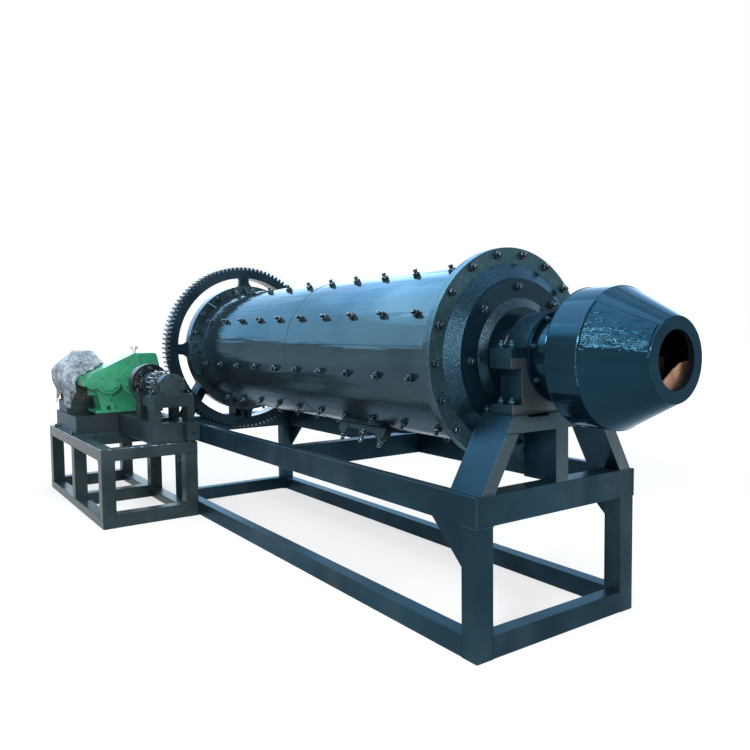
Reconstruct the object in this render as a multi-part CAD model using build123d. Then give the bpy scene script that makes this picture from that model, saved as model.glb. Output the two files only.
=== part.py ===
from build123d import *
from math import acos, atan2, cos, degrees, pi, radians, sin, sqrt, tan
import os

# Ball mill of the 900 by 3000 class on a welded frame, with its drive on a stand beside the gear end.
# Millimetres, +Z up. While it is drawn, X runs along the drum, X = 0 is the frame's feed end face,
# the drum lies towards -X, Y = 0 is the drum axis, the drive stands on the -Y side and Z = 0 is the floor.

# Main frame
FRAME_WIDTH = 1080.0
FRAME_HEIGHT = 727.0
POST_WIDTH = 100.0
LOWER_BEAM_HEIGHT = 104.0
LOWER_BEAM_WIDTH = 80.0
UPPER_BEAM_HEIGHT = 138.0
UPPER_BEAM_WIDTH = 50.0
CROSS_BEAM_WIDTH = 100.0
CROSS_BEAM_SHARE = 7 / 15
GUSSET_LENGTH = 90.0
GUSSET_THICKNESS = 12.0
TUBE_CORNER_RADIUS = 5.0

# Trestles that carry the drum's two bearings
TRESTLE_HEIGHT = 328.0
BEARING_CENTRE_HEIGHT = 253.0
LEG_FOOT_INSET = 29.0
LEG_HEAD_HALF_WIDTH = 319.0
LEG_THICKNESS = 80.0
TRESTLE_BEAM_HEIGHT = 76.0
TRESTLE_POST_WIDTH = 82.0
FEED_TRESTLE_DEPTH = 200.0
GEAR_TRESTLE_DEPTH = 160.0
GEAR_TRESTLE_CLEARANCE = 15.0

# Drum bearings
BEARING_LENGTH = 135.0
BEARING_BASE_HEIGHT = 44.0
BEARING_BASE_HALF_WIDTH = 292.0
BEARING_BODY_HALF_WIDTH = 232.0
BEARING_CAP_RADIUS = 208.0
BEARING_LUG_HALF_WIDTH = 300.0
BEARING_LUG_HEIGHT = 46.0
JOURNAL_RADIUS = 140.0
JOURNAL_CLEARANCE = 0.05
RUNNING_CLEARANCE = 6.0

# Drum shell and its flanges
SHELL_LENGTH = 3054.0
SHELL_RADIUS = 460.0
SHELL_WALL_THICKNESS = 14.0
FEED_NECK_LENGTH = 146.0
FEED_FLANGE_RADIUS = 531.0
GEAR_FLANGE_RADIUS = 520.0
SHELL_FLANGE_THICKNESS = 25.0
STIFFENERS = 9
STIFFENER_ANGLE = 93.0
STIFFENER_LENGTH = 62.0
STIFFENER_HEIGHT = 52.0
STIFFENER_THICKNESS = 10.0

# Drum heads and trunnions
HEAD_FLANGE_THICKNESS = 26.0
HEAD_BAND_OUTER_RADIUS = 450.0
HEAD_BAND_INNER_RADIUS = 378.0
HEAD_BAND_HEIGHT = 40.0
TRUNNION_SPIGOT_RADIUS = 240.0
TRUNNION_DISC_RADIUS = 376.0
TRUNNION_DISC_THICKNESS = 12.0
TRUNNION_HUB_RADIUS = 281.0
TRUNNION_HUB_NECK_RADIUS = 236.0
TRUNNION_HUB_HEIGHT = 20.0
TRUNNION_BORE_RADIUS = 110.0
SPIGOT_CLEARANCE = 2.0

# Manhole under the shell
MANHOLE_SHARE = 0.325
MANHOLE_ANGLE = 258.0
MANHOLE_LENGTH = 380.0
MANHOLE_HALF_SPAN_ANGLE = 17.0
MANHOLE_THICKNESS = 20.0
MANHOLE_SEAT_CLEARANCE = 0.3
BRIDGE_ANGLE = 246.0
BRIDGE_LENGTH = 480.0
BRIDGE_WIDTH = 40.0
BRIDGE_THICKNESS = 30.0
BRIDGE_LUG_LENGTH = 90.0
BRIDGE_LUG_HEIGHT = 62.0
BRIDGE_LUG_WIDTH = 46.0

# Girth gear and pinion
GEAR_TEETH = 112
PINION_TEETH = 16
GEAR_MODULE = 12.0
PRESSURE_ANGLE = 20.0
TOOTH_BACKLASH = 1.2
TOOTH_ADDENDUM = 0.9
TOOTH_DEDENDUM = 1.2
GEAR_FACE_WIDTH = 120.0
GEAR_FRONT_OFFSET = 35.0
GEAR_RIM_INNER_RADIUS = 590.0
GEAR_RING_THICKNESS = 30.0
GEAR_SPOKES = 4
SPOKE_RIB_THICKNESS = 26.0
SPOKE_PLATE_WIDTH = 84.0
SPOKE_PLATE_THICKNESS = 22.0
SPOKE_ROOT_FLARE = 34.0
SPOKE_SINK = 8.0
PINION_FACE_WIDTH = 130.0
PINION_OFFSET_Y = 715.0
PINION_SHAFT_RADIUS = 45.0

# Drum feeder on the feed end
FEEDER_HUB_RADIUS = 192.0
FEEDER_RING_RADIUS = 212.0
FEEDER_RING_THICKNESS = 18.0
FEEDER_HUB_LENGTH = 188.5
FEEDER_BARREL_LENGTH = 162.0
FEEDER_CONE_LENGTH = 248.0
FEEDER_RADIUS = 308.0
FEEDER_END_RADIUS = 176.0
FEEDER_MOUTH_RADIUS = 123.0
FEEDER_WALL_THICKNESS = 10.0
FEEDER_END_THICKNESS = 25.0
SCOOP_THICKNESS = 10.0

# Drive stand
STAND_OVERLAP = 250.0
STAND_LENGTH = 1855.0
STAND_WIDTH = 732.0
STAND_GAP = 5.0
STAND_TUBE_WIDTH = 100.0
STAND_TOP_RAIL_HEIGHT = 90.0
STAND_BOTTOM_RAIL_HEIGHT = 104.0
STAND_RUNNER_HEIGHT = 66.0

# Sub-bases on the stand
SUBBASE_HEIGHT = 155.0
SUBBASE_CHANNEL_WIDTH = 78.0
SUBBASE_SETBACK = 40.0
SUBBASE_GAP = 2.0
MOTOR_BASE_LENGTH = 778.0
MOTOR_BASE_INSET = 42.0
BEARING_BASE_INSET = 392.0
END_STUB_LENGTH = 100.0
END_STUB_WIDTH = 100.0
END_STUB_HEIGHT = 130.0
END_STUB_RISE = 18.0
END_STUB_HOLE_RADIUS = 9.0
END_STUB_HOLE_DEPTH = 20.0
END_STUB_HOLE_HEIGHT = 60.0

# Pedestals and bearing blocks of the pinion shaft
PEDESTAL_OVERHANG = 150.0
FRONT_PEDESTAL_LENGTH = 140.0
REAR_PEDESTAL_LENGTH = 120.0
PEDESTAL_SETBACK = 8.0
PEDESTAL_GEAR_CLEARANCE = 18.0
PEDESTAL_POST_WIDTH = 54.0
PEDESTAL_RAIL_HEIGHT = 76.0
PEDESTAL_TIE_THICKNESS = 30.0
PEDESTAL_TIE_INSET = 12.0
BLOCK_CENTRE_HEIGHT = 88.0
BLOCK_LENGTH = 104.0
BLOCK_RADIUS = 92.0
BLOCK_FOOT_HALF_WIDTH = 170.0
BLOCK_FOOT_HEIGHT = 24.0
BLOCK_CHEEK_HALF_WIDTH = 128.0
BLOCK_CHEEK_HEIGHT = 34.0
BLOCK_COVER_RADIUS = 100.0
BLOCK_COVER_THICKNESS = 12.0
BLOCK_COVER_RECESS_RADIUS = 62.0

# Pin coupling between reducer and pinion shaft
COUPLING_SETBACK = 72.0
COUPLING_RADIUS = 156.0
COUPLING_DISC_THICKNESS = 48.0
COUPLING_HUB_RADIUS = 84.0
COUPLING_HUB_LENGTH = 140.0
COUPLING_GAP = 5.0

# Reducer
REDUCER_SETBACK = 487.0
REDUCER_CENTRE_HEIGHT = 265.0
REDUCER_WIDTH = 250.0
REDUCER_LOWER_WIDTH = 230.0
REDUCER_SPLIT_WIDTH = 326.0
REDUCER_SPLIT_THICKNESS = 28.0
REDUCER_SPLIT_CORNER_RADIUS = 40.0
REDUCER_BOSS_WIDTH = 330.0
REDUCER_FOOT_WIDTH = 300.0
REDUCER_FOOT_HEIGHT = 24.0
REDUCER_BIG_RADIUS = 240.0
INTERMEDIATE_OFFSET = 245.0
INPUT_OFFSET = 370.0
REDUCER_NOSE_LENGTH = 18.0
REDUCER_NOSE_RISE = 65.0
REDUCER_NOSE_OVERHANG = 58.0
REDUCER_RIDGE_LENGTH = 10.0
REDUCER_BACK_LEAN = 55.0
REDUCER_LOWER_SETBACK = 36.0
REDUCER_FOOT_TAPER = 62.0
REDUCER_SPLIT_OVERHANG = 16.0
REDUCER_EDGE_RADIUS = 34.0
REDUCER_SHAFT_RADIUS = 42.0
OUTPUT_BOSS_RADIUS = 139.0
INTERMEDIATE_BOSS_RADIUS = 103.0
INPUT_BOSS_RADIUS = 58.0
BEARING_COVER_THICKNESS = 10.0
BEARING_COVER_LEDGE = 26.0
BEARING_COVER_RIM = 14.0
BEARING_COVER_RIM_HEIGHT = 4.0
REDUCER_RIB_THICKNESS = 30.0
REDUCER_RIB_DEPTH = 26.0
FOOT_RIB_HEIGHT = 60.0
BOSS_WEB_HEIGHT = 80.0
BOSS_WEB_WIDTH = 46.0
LIFTING_LUG_LENGTH = 30.0
LIFTING_LUG_WIDTH = 46.0
LIFTING_LUG_HEIGHT = 90.0
PACKING_HEIGHT = 18.0
PACKING_WIDTH = 90.0
BREATHER_STEM_RADIUS = 14.0
BREATHER_STEM_HEIGHT = 34.0
BREATHER_CAP_RADIUS = 34.0
BREATHER_CAP_HEIGHT = 26.0

# Motor, its stool and the film wrapped round it
MOTOR_SETBACK = 75.0
MOTOR_LENGTH = 385.0
MOTOR_SPIGOT_RADIUS = 48.0
MOTOR_RADIUS = 170.0
MOTOR_FOOT_HALF_WIDTH = 126.0
MOTOR_FOOT_INSET = 45.0
TERMINAL_BOX_LENGTH = 130.0
TERMINAL_BOX_WIDTH = 150.0
TERMINAL_BOX_OFFSET = 40.0
TERMINAL_BOX_TOP = 255.0
WRAP_THICKNESS = 10.0
WRAP_CLEARANCE = 0.3
WRAP_SKIRT_HEIGHT = 90.0
STOOL_LENGTH = 320.0
STOOL_WIDTH = 280.0
STOOL_RECESS_DEPTH = 60.0
STOOL_PLATE_THICKNESS = 16.0

# Places worked out from the sizes above
half_frame = FRAME_WIDTH / 2
trestle_top = FRAME_HEIGHT + TRESTLE_HEIGHT
axis_height = trestle_top + BEARING_CENTRE_HEIGHT
feed_joint_x = -FEED_TRESTLE_DEPTH - FEED_NECK_LENGTH
gear_joint_x = feed_joint_x - SHELL_LENGTH
gear_front_x = gear_joint_x - GEAR_FRONT_OFFSET
gear_back_x = gear_front_x - GEAR_FACE_WIDTH
gear_head_joint_x = gear_joint_x - GEAR_RING_THICKNESS
gear_trestle_front_x = gear_back_x - GEAR_TRESTLE_CLEARANCE
frame_length = GEAR_TRESTLE_DEPTH - gear_trestle_front_x
feed_trestle_x = -FEED_TRESTLE_DEPTH / 2
gear_trestle_x = gear_trestle_front_x - GEAR_TRESTLE_DEPTH / 2
feeder_hub_x = feed_trestle_x + BEARING_LENGTH / 2 + RUNNING_CLEARANCE

centre_distance = GEAR_MODULE * (GEAR_TEETH + PINION_TEETH) / 2
pinion_y = -PINION_OFFSET_Y
pinion_z = axis_height - sqrt(centre_distance**2 - PINION_OFFSET_Y**2)
mesh_angle = degrees(atan2(pinion_z - axis_height, pinion_y))

subbase_top = pinion_z - REDUCER_CENTRE_HEIGHT - PACKING_HEIGHT
stand_height = subbase_top - SUBBASE_HEIGHT
stand_front_x = gear_front_x + STAND_OVERLAP
stand_inner_y = -half_frame - STAND_GAP
stand_outer_y = stand_inner_y - STAND_WIDTH
bearing_base_front_x = stand_front_x - SUBBASE_SETBACK
front_pedestal_x = bearing_base_front_x - PEDESTAL_SETBACK - FRONT_PEDESTAL_LENGTH / 2
rear_pedestal_x = gear_back_x - PEDESTAL_GEAR_CLEARANCE - REAR_PEDESTAL_LENGTH / 2
pedestal_top = pinion_z - BLOCK_CENTRE_HEIGHT
coupling_front_x = rear_pedestal_x - REAR_PEDESTAL_LENGTH / 2 - COUPLING_SETBACK
pinion_half_back_x = coupling_front_x - COUPLING_DISC_THICKNESS
reducer_half_front_x = pinion_half_back_x - COUPLING_GAP
reducer_half_back_x = reducer_half_front_x - COUPLING_DISC_THICKNESS
reducer_x = pinion_half_back_x - REDUCER_SETBACK
motor_base_front_x = reducer_x + REDUCER_FOOT_WIDTH / 2 + MOTOR_BASE_INSET / 4
motor_front_x = reducer_x - REDUCER_WIDTH / 2 - MOTOR_SETBACK
input_y = pinion_y - INPUT_OFFSET

parts = {}


def box(x, y, z):
    """A box between pairs of low and high values along each axis."""
    size = (x[1] - x[0], y[1] - y[0], z[1] - z[0])
    middle = ((x[0] + x[1]) / 2, (y[0] + y[1]) / 2, (z[0] + z[1]) / 2)
    return Pos(*middle) * Box(*size)


def around(middle, length):
    """The low and high value of a length about its middle."""
    return (middle - length / 2, middle + length / 2)


def tube(x, y, z, along):
    """A closed rectangular steel tube with rounded long edges, along "X", "Y" or "Z"."""
    solid = box(x, y, z)
    axis = {"X": Axis.X, "Y": Axis.Y, "Z": Axis.Z}[along]
    return fillet(solid.edges().filter_by(axis), TUBE_CORNER_RADIUS)


def disc(x, radius, y=0.0, z=axis_height, hole=0.0):
    """A round plate or bar square to X, between two X values."""
    length = abs(x[1] - x[0])
    place = Pos((x[0] + x[1]) / 2, y, z) * Rot(0, 90, 0)
    solid = place * Cylinder(radius, length)
    if hole:
        solid -= place * Cylinder(hole, length * 2)
    return solid


def turned(outline, y=0.0, z=axis_height):
    """A body turned about an axis along X, from a closed outline of (x, radius) points."""
    face = Plane.XZ * make_face(Polyline(*outline, close=True))
    return Pos(0, y, z) * revolve(face, Axis.X)


def extruded_x(outline, x):
    """A prism along X from a closed outline of (y, z) points."""
    face = Plane.YZ * make_face(Polyline(*outline, close=True))
    return Pos(x[0], 0, 0) * extrude(face, x[1] - x[0])


def turned_to(angle):
    """Takes what is drawn above the drum axis to an angle, counted from +Y towards +Z."""
    return Pos(0, 0, axis_height) * Rot(angle - 90, 0, 0) * Pos(0, 0, -axis_height)


def joined(solids):
    """One node made of several solids that do not touch."""
    return Compound(list(solids))


def mirrored_y(solid):
    return mirror(solid, Plane.XZ)


def make_frame():
    inner = half_frame - POST_WIDTH
    post_top = FRAME_HEIGHT - UPPER_BEAM_HEIGHT
    lower = (0, LOWER_BEAM_HEIGHT)
    upper = (post_top, FRAME_HEIGHT)
    near_y = (-half_frame, -half_frame + LOWER_BEAM_WIDTH)
    side = tube((-frame_length + POST_WIDTH, -POST_WIDTH), near_y, lower, "X")
    parts["frame_lower_side_beams"] = joined([side, mirrored_y(side)])
    end_x = [(-LOWER_BEAM_WIDTH, 0), (-frame_length, -frame_length + LOWER_BEAM_WIDTH)]
    parts["frame_lower_end_beams"] = joined(tube(x, (-inner, inner), lower, "Y") for x in end_x)
    near_y = (-half_frame, -half_frame + UPPER_BEAM_WIDTH)
    side = tube((-frame_length, 0), near_y, upper, "X")
    parts["frame_upper_side_beams"] = joined([side, mirrored_y(side)])
    reach = half_frame - UPPER_BEAM_WIDTH
    crossings = [
        (-POST_WIDTH, 0),
        around(-frame_length * CROSS_BEAM_SHARE, CROSS_BEAM_WIDTH),
        (-frame_length, -frame_length + POST_WIDTH),
    ]
    parts["frame_upper_cross_beams"] = joined(tube(x, (-reach, reach), upper, "Y") for x in crossings)
    posts = []
    gussets = []
    for face_x, turn in ((-POST_WIDTH, -1), (-frame_length + POST_WIDTH, 1)):
        x_range = sorted((face_x, face_x - turn * POST_WIDTH))
        post = tube(x_range, (-half_frame, -inner), (0, post_top), "Z")
        gusset = frame_gusset(face_x, turn, post_top)
        posts += [post, mirrored_y(post)]
        gussets += [gusset, mirrored_y(gusset)]
    parts["frame_posts"] = joined(posts)
    parts["frame_gussets"] = joined(gussets)


def frame_gusset(face_x, turn, post_top):
    """A triangular plate in the corner of a post and the upper side beam."""
    y = -half_frame + UPPER_BEAM_WIDTH / 2
    along = (face_x + turn * GUSSET_LENGTH, post_top)
    down = (face_x, post_top - GUSSET_LENGTH)
    face = Plane.XZ * make_face(Polyline((face_x, post_top), along, down, close=True))
    return Pos(0, y + GUSSET_THICKNESS / 2, 0) * extrude(face, GUSSET_THICKNESS)


def make_trestle(name, middle_x, depth):
    """Sloped legs, a beam across their heads and a post under the bearing."""
    x = around(middle_x, depth)
    foot_y = half_frame - LEG_FOOT_INSET
    head_y = LEG_HEAD_HALF_WIDTH
    beam_low = trestle_top - TRESTLE_BEAM_HEIGHT
    slope = (foot_y - head_y) / TRESTLE_HEIGHT
    seat_y = foot_y - slope * (beam_low - FRAME_HEIGHT)
    outline = [
        (-foot_y, FRAME_HEIGHT),
        (-foot_y + LEG_THICKNESS, FRAME_HEIGHT),
        (-seat_y + LEG_THICKNESS, beam_low),
        (-seat_y, beam_low),
    ]
    leg = extruded_x(outline, x)
    parts[name + "_trestle_legs"] = joined([leg, mirrored_y(leg)])
    beam = [(-seat_y, beam_low), (seat_y, beam_low), (head_y, trestle_top), (-head_y, trestle_top)]
    parts[name + "_trestle_beam"] = extruded_x(beam, x)
    post_y = around(0, TRESTLE_POST_WIDTH)
    parts[name + "_trestle_post"] = box(x, post_y, (FRAME_HEIGHT, beam_low))


def make_bearing(name, middle_x):
    """A split plain bearing: a base with its lower half, and a rounded cap."""
    x = around(middle_x, BEARING_LENGTH)
    through_x = around(middle_x, BEARING_LENGTH * 2)
    lug_y = (-BEARING_LUG_HALF_WIDTH, BEARING_LUG_HALF_WIDTH)
    base_top = trestle_top + BEARING_BASE_HEIGHT
    lug_low = axis_height - BEARING_LUG_HEIGHT
    lug_high = axis_height + BEARING_LUG_HEIGHT
    body = box(x, (-BEARING_BASE_HALF_WIDTH, BEARING_BASE_HALF_WIDTH), (trestle_top, base_top))
    body += box(x, (-BEARING_BODY_HALF_WIDTH, BEARING_BODY_HALF_WIDTH), (base_top, axis_height))
    body += box(x, lug_y, (lug_low, axis_height))
    bore = disc(through_x, JOURNAL_RADIUS + JOURNAL_CLEARANCE)
    parts[name + "_bearing_base"] = body - bore
    cap = disc(x, BEARING_CAP_RADIUS) + box(x, lug_y, (axis_height, lug_high))
    above = box(through_x, (-FRAME_WIDTH, FRAME_WIDTH), (axis_height, 2 * axis_height))
    parts[name + "_bearing_cap"] = (cap & above) - bore


def make_shell():
    """The rolled shell with a flange at each end and stiffeners behind the gear end's flange."""
    inner = SHELL_RADIUS - SHELL_WALL_THICKNESS
    flange_back_x = gear_joint_x + SHELL_FLANGE_THICKNESS
    outline = [
        (feed_joint_x, inner),
        (feed_joint_x, FEED_FLANGE_RADIUS),
        (feed_joint_x - SHELL_FLANGE_THICKNESS, FEED_FLANGE_RADIUS),
        (feed_joint_x - SHELL_FLANGE_THICKNESS, SHELL_RADIUS),
        (flange_back_x, SHELL_RADIUS),
        (flange_back_x, GEAR_FLANGE_RADIUS),
        (gear_joint_x, GEAR_FLANGE_RADIUS),
        (gear_joint_x, inner),
    ]
    shell = turned(outline)
    low = axis_height + SHELL_RADIUS
    root = low - SHELL_WALL_THICKNESS / 2
    stiffener = [
        (gear_joint_x, root),
        (gear_joint_x, low + STIFFENER_HEIGHT),
        (flange_back_x, low + STIFFENER_HEIGHT),
        (flange_back_x + STIFFENER_LENGTH, low),
        (flange_back_x + STIFFENER_LENGTH, root),
    ]
    face = Plane.XZ * make_face(Polyline(*stiffener, close=True))
    plate = Pos(0, STIFFENER_THICKNESS / 2, 0) * extrude(face, STIFFENER_THICKNESS)
    for i in range(STIFFENERS):
        shell += turned_to(STIFFENER_ANGLE + i * 360 / STIFFENERS) * plate
    parts["drum_shell"] = shell


def make_manhole():
    """A curved cover under the shell, held by a bar with a lug at each end."""
    middle_x = feed_joint_x - SHELL_LENGTH * MANHOLE_SHARE
    x = around(middle_x, MANHOLE_LENGTH)
    seat = SHELL_RADIUS + MANHOLE_SEAT_CLEARANCE
    top = seat + MANHOLE_THICKNESS
    ring = disc(x, top, hole=seat)
    half = radians(MANHOLE_HALF_SPAN_ANGLE)
    reach = top / cos(half)
    wedge = extruded_x([
        (0, axis_height),
        (-reach * sin(half), axis_height + reach * cos(half)),
        (reach * sin(half), axis_height + reach * cos(half)),
    ], x)
    parts["manhole_cover"] = ring & (turned_to(MANHOLE_ANGLE) * wedge)
    bar_z = (axis_height + top, axis_height + top + BRIDGE_THICKNESS)
    bar = box(around(middle_x, BRIDGE_LENGTH), around(0, BRIDGE_WIDTH), bar_z)
    for side in (-1, 1):
        lug_x = middle_x + side * (BRIDGE_LENGTH - BRIDGE_LUG_LENGTH) / 2
        lug_z = (axis_height + top, axis_height + top + BRIDGE_LUG_HEIGHT)
        lug = box(around(lug_x, BRIDGE_LUG_LENGTH), around(0, BRIDGE_LUG_WIDTH), lug_z)
        upper = lug.edges().filter_by(Axis.Y).group_by(Axis.Z)[-1]
        bar += fillet(upper, BRIDGE_LUG_LENGTH / 3)
    sunk = turned_to(BRIDGE_ANGLE) * Pos(0, 0, -BRIDGE_WIDTH / top) * bar
    parts["manhole_bridge"] = sunk - disc(around(middle_x, BRIDGE_LENGTH * 2), top)


def head(joint_x, out, flange_radius):
    """An end head: a flat bolted ring that rises by a conical band. out is 1 towards +X, -1 towards -X."""
    face_x = joint_x + out * HEAD_FLANGE_THICKNESS
    top_x = face_x + out * HEAD_BAND_HEIGHT
    outline = [
        (joint_x, TRUNNION_SPIGOT_RADIUS),
        (joint_x, flange_radius),
        (face_x, flange_radius),
        (face_x, HEAD_BAND_OUTER_RADIUS),
        (top_x, HEAD_BAND_INNER_RADIUS),
        (top_x, TRUNNION_SPIGOT_RADIUS),
    ]
    return turned(outline)


def trunnion(joint_x, out, end_x):
    """A trunnion: a bolted disc with a raised ring, and a hollow journal through the bearing."""
    seat_x = joint_x + out * (HEAD_FLANGE_THICKNESS + HEAD_BAND_HEIGHT)
    disc_x = seat_x + out * TRUNNION_DISC_THICKNESS
    hub_x = disc_x + out * TRUNNION_HUB_HEIGHT
    spigot = TRUNNION_SPIGOT_RADIUS - SPIGOT_CLEARANCE
    outline = [
        (joint_x, TRUNNION_BORE_RADIUS),
        (joint_x, spigot),
        (seat_x, spigot),
        (seat_x, TRUNNION_DISC_RADIUS),
        (disc_x, TRUNNION_DISC_RADIUS),
        (disc_x, TRUNNION_HUB_RADIUS),
        (hub_x, TRUNNION_HUB_NECK_RADIUS),
        (hub_x, JOURNAL_RADIUS),
        (end_x, JOURNAL_RADIUS),
        (end_x, TRUNNION_BORE_RADIUS),
    ]
    return turned(outline)


def make_ends():
    parts["feed_head"] = head(feed_joint_x, 1, FEED_FLANGE_RADIUS)
    parts["gear_head"] = head(gear_head_joint_x, -1, GEAR_FLANGE_RADIUS)
    gear_end_x = gear_trestle_x - BEARING_LENGTH / 2 - FEEDER_RING_THICKNESS - RUNNING_CLEARANCE
    parts["feed_trunnion"] = trunnion(feed_joint_x, 1, feeder_hub_x)
    parts["gear_trunnion"] = trunnion(gear_head_joint_x, -1, gear_end_x)


def tooth_points(teeth, steps):
    """One tooth centred on angle 0: (radius, angle) from its first root to its last, involute flanks."""
    pitch = GEAR_MODULE * teeth / 2
    base = pitch * cos(radians(PRESSURE_ANGLE))
    tip = pitch + TOOTH_ADDENDUM * GEAR_MODULE
    root = pitch - TOOTH_DEDENDUM * GEAR_MODULE
    half_at_pitch = (pi * GEAR_MODULE / 2 - TOOTH_BACKLASH / 2) / 2 / pitch
    roll_at_pitch = tan(radians(PRESSURE_ANGLE)) - radians(PRESSURE_ANGLE)

    def half_angle(radius):
        if radius <= base:
            return half_at_pitch + roll_at_pitch
        tilt = acos(base / radius)
        return half_at_pitch + roll_at_pitch - (tan(tilt) - tilt)

    start = max(base, root)
    radii = [start + (tip - start) * i / steps for i in range(steps + 1)]
    if root < base:
        radii.insert(0, root)
    rising = [(r, -half_angle(r)) for r in radii]
    return rising + [(r, -a) for r, a in reversed(rising)]


def toothed_face(teeth, steps, first_angle):
    """The outline of a whole gear as a face, with a tooth centred on first_angle in degrees."""
    points = []
    for i in range(teeth):
        centre = radians(first_angle) + i * 2 * pi / teeth
        points += [(r * cos(centre + a), r * sin(centre + a)) for r, a in tooth_points(teeth, steps)]
    return make_face(Polyline(*points, close=True))


def make_girth_gear():
    """A toothed rim on T-shaped spokes from a ring that is bolted behind the shell's flange."""
    rim_face = Plane.YZ * toothed_face(GEAR_TEETH, 2, mesh_angle)
    gear = Pos(gear_back_x, 0, axis_height) * extrude(rim_face, GEAR_FACE_WIDTH)
    gear -= disc(around(gear_back_x, GEAR_FACE_WIDTH * 3), GEAR_RIM_INNER_RADIUS)
    gear += disc((gear_head_joint_x, gear_joint_x), GEAR_FLANGE_RADIUS, hole=TRUNNION_DISC_RADIUS)
    low = axis_height + GEAR_FLANGE_RADIUS
    high = axis_height + GEAR_RIM_INNER_RADIUS
    sunk = (low - SPOKE_SINK, high + SPOKE_SINK)
    plate_x = (gear_front_x - SPOKE_PLATE_THICKNESS, gear_front_x)
    rib_x = (gear_back_x + SPOKE_PLATE_THICKNESS, gear_joint_x)
    half = SPOKE_PLATE_WIDTH / 2
    flare = SPOKE_ROOT_FLARE
    plate = [
        (-half - flare, sunk[0] - flare / 4),
        (-half - flare / 3, low + flare / 3),
        (-half, low + flare),
        (-half, sunk[1]),
        (half, sunk[1]),
        (half, low + flare),
        (half + flare / 3, low + flare / 3),
        (half + flare, sunk[0] - flare / 4),
    ]
    spoke = extruded_x(plate, plate_x)
    foot_z = (sunk[0], low + flare / 3)
    spoke += box((plate_x[0], gear_joint_x), around(0, SPOKE_PLATE_WIDTH), foot_z)
    spoke += box(rib_x, around(0, SPOKE_RIB_THICKNESS), sunk)
    head_x = (gear_back_x, gear_head_joint_x)
    spoke -= disc(head_x, GEAR_FLANGE_RADIUS + SPIGOT_CLEARANCE)
    for i in range(GEAR_SPOKES):
        gear += turned_to(90 + i * 360 / GEAR_SPOKES) * spoke
    parts["girth_gear"] = gear


def make_feeder():
    """The drum feeder: a hub bolted to the trunnion, a barrel and a cone with a round mouth."""
    wall = FEEDER_WALL_THICKNESS
    ring_x = feeder_hub_x + FEEDER_RING_THICKNESS
    back_x = feeder_hub_x + FEEDER_HUB_LENGTH
    cone_x = back_x + FEEDER_BARREL_LENGTH
    front_x = cone_x + FEEDER_CONE_LENGTH
    end_x = front_x - FEEDER_END_THICKNESS
    outline = [
        (feeder_hub_x, TRUNNION_BORE_RADIUS),
        (feeder_hub_x, FEEDER_RING_RADIUS),
        (ring_x, FEEDER_RING_RADIUS),
        (ring_x, FEEDER_HUB_RADIUS),
        (back_x, FEEDER_HUB_RADIUS),
        (back_x, FEEDER_RADIUS),
        (cone_x, FEEDER_RADIUS),
        (front_x, FEEDER_END_RADIUS),
        (front_x, FEEDER_MOUTH_RADIUS),
        (end_x, FEEDER_MOUTH_RADIUS),
        (end_x, FEEDER_END_RADIUS - wall),
        (cone_x, FEEDER_RADIUS - wall),
        (back_x + wall, FEEDER_RADIUS - wall),
        (back_x + wall, FEEDER_HUB_RADIUS - wall),
        (ring_x, FEEDER_HUB_RADIUS - wall),
        (ring_x, TRUNNION_BORE_RADIUS),
    ]
    parts["feeder_drum"] = turned(outline)
    scoop_x = (cone_x - SCOOP_THICKNESS, cone_x)
    scoop = disc(scoop_x, FEEDER_RADIUS - wall, hole=FEEDER_HUB_RADIUS)
    keep = box((back_x, front_x), (0, FEEDER_RADIUS), (axis_height - FEEDER_RADIUS, axis_height))
    parts["feeder_scoop"] = scoop & keep


def make_pinion_line():
    """Pinion, its shaft, both halves of the pin coupling and the reducer's output shaft."""
    y, z = pinion_y, pinion_z
    x = around(gear_front_x - GEAR_FACE_WIDTH / 2, PINION_FACE_WIDTH)
    first = mesh_angle + 180 + 180 / PINION_TEETH
    face = Plane.YZ * toothed_face(PINION_TEETH, 5, first)
    pinion = Pos(x[0], y, z) * extrude(face, PINION_FACE_WIDTH)
    parts["pinion"] = pinion - disc(around(x[0], PINION_FACE_WIDTH * 3), PINION_SHAFT_RADIUS, y, z)
    front = front_pedestal_x + BLOCK_LENGTH / 2 - BLOCK_COVER_THICKNESS
    parts["pinion_shaft"] = disc((pinion_half_back_x, front), PINION_SHAFT_RADIUS, y, z)
    half_x = (pinion_half_back_x, coupling_front_x)
    parts["pinion_coupling"] = disc(half_x, COUPLING_RADIUS, y, z, hole=PINION_SHAFT_RADIUS)
    half = disc((reducer_half_back_x, reducer_half_front_x), COUPLING_RADIUS, y, z)
    hub_x = (reducer_half_back_x - COUPLING_HUB_LENGTH, reducer_half_back_x)
    half += disc(hub_x, COUPLING_HUB_RADIUS, y, z)
    through_x = (hub_x[0] - COUPLING_GAP, reducer_half_front_x + COUPLING_GAP)
    parts["reducer_coupling"] = half - disc(through_x, REDUCER_SHAFT_RADIUS, y, z)
    shaft_x = (reducer_x - REDUCER_WIDTH / 2, reducer_half_front_x)
    parts["reducer_output_shaft"] = disc(shaft_x, REDUCER_SHAFT_RADIUS, y, z)


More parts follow.
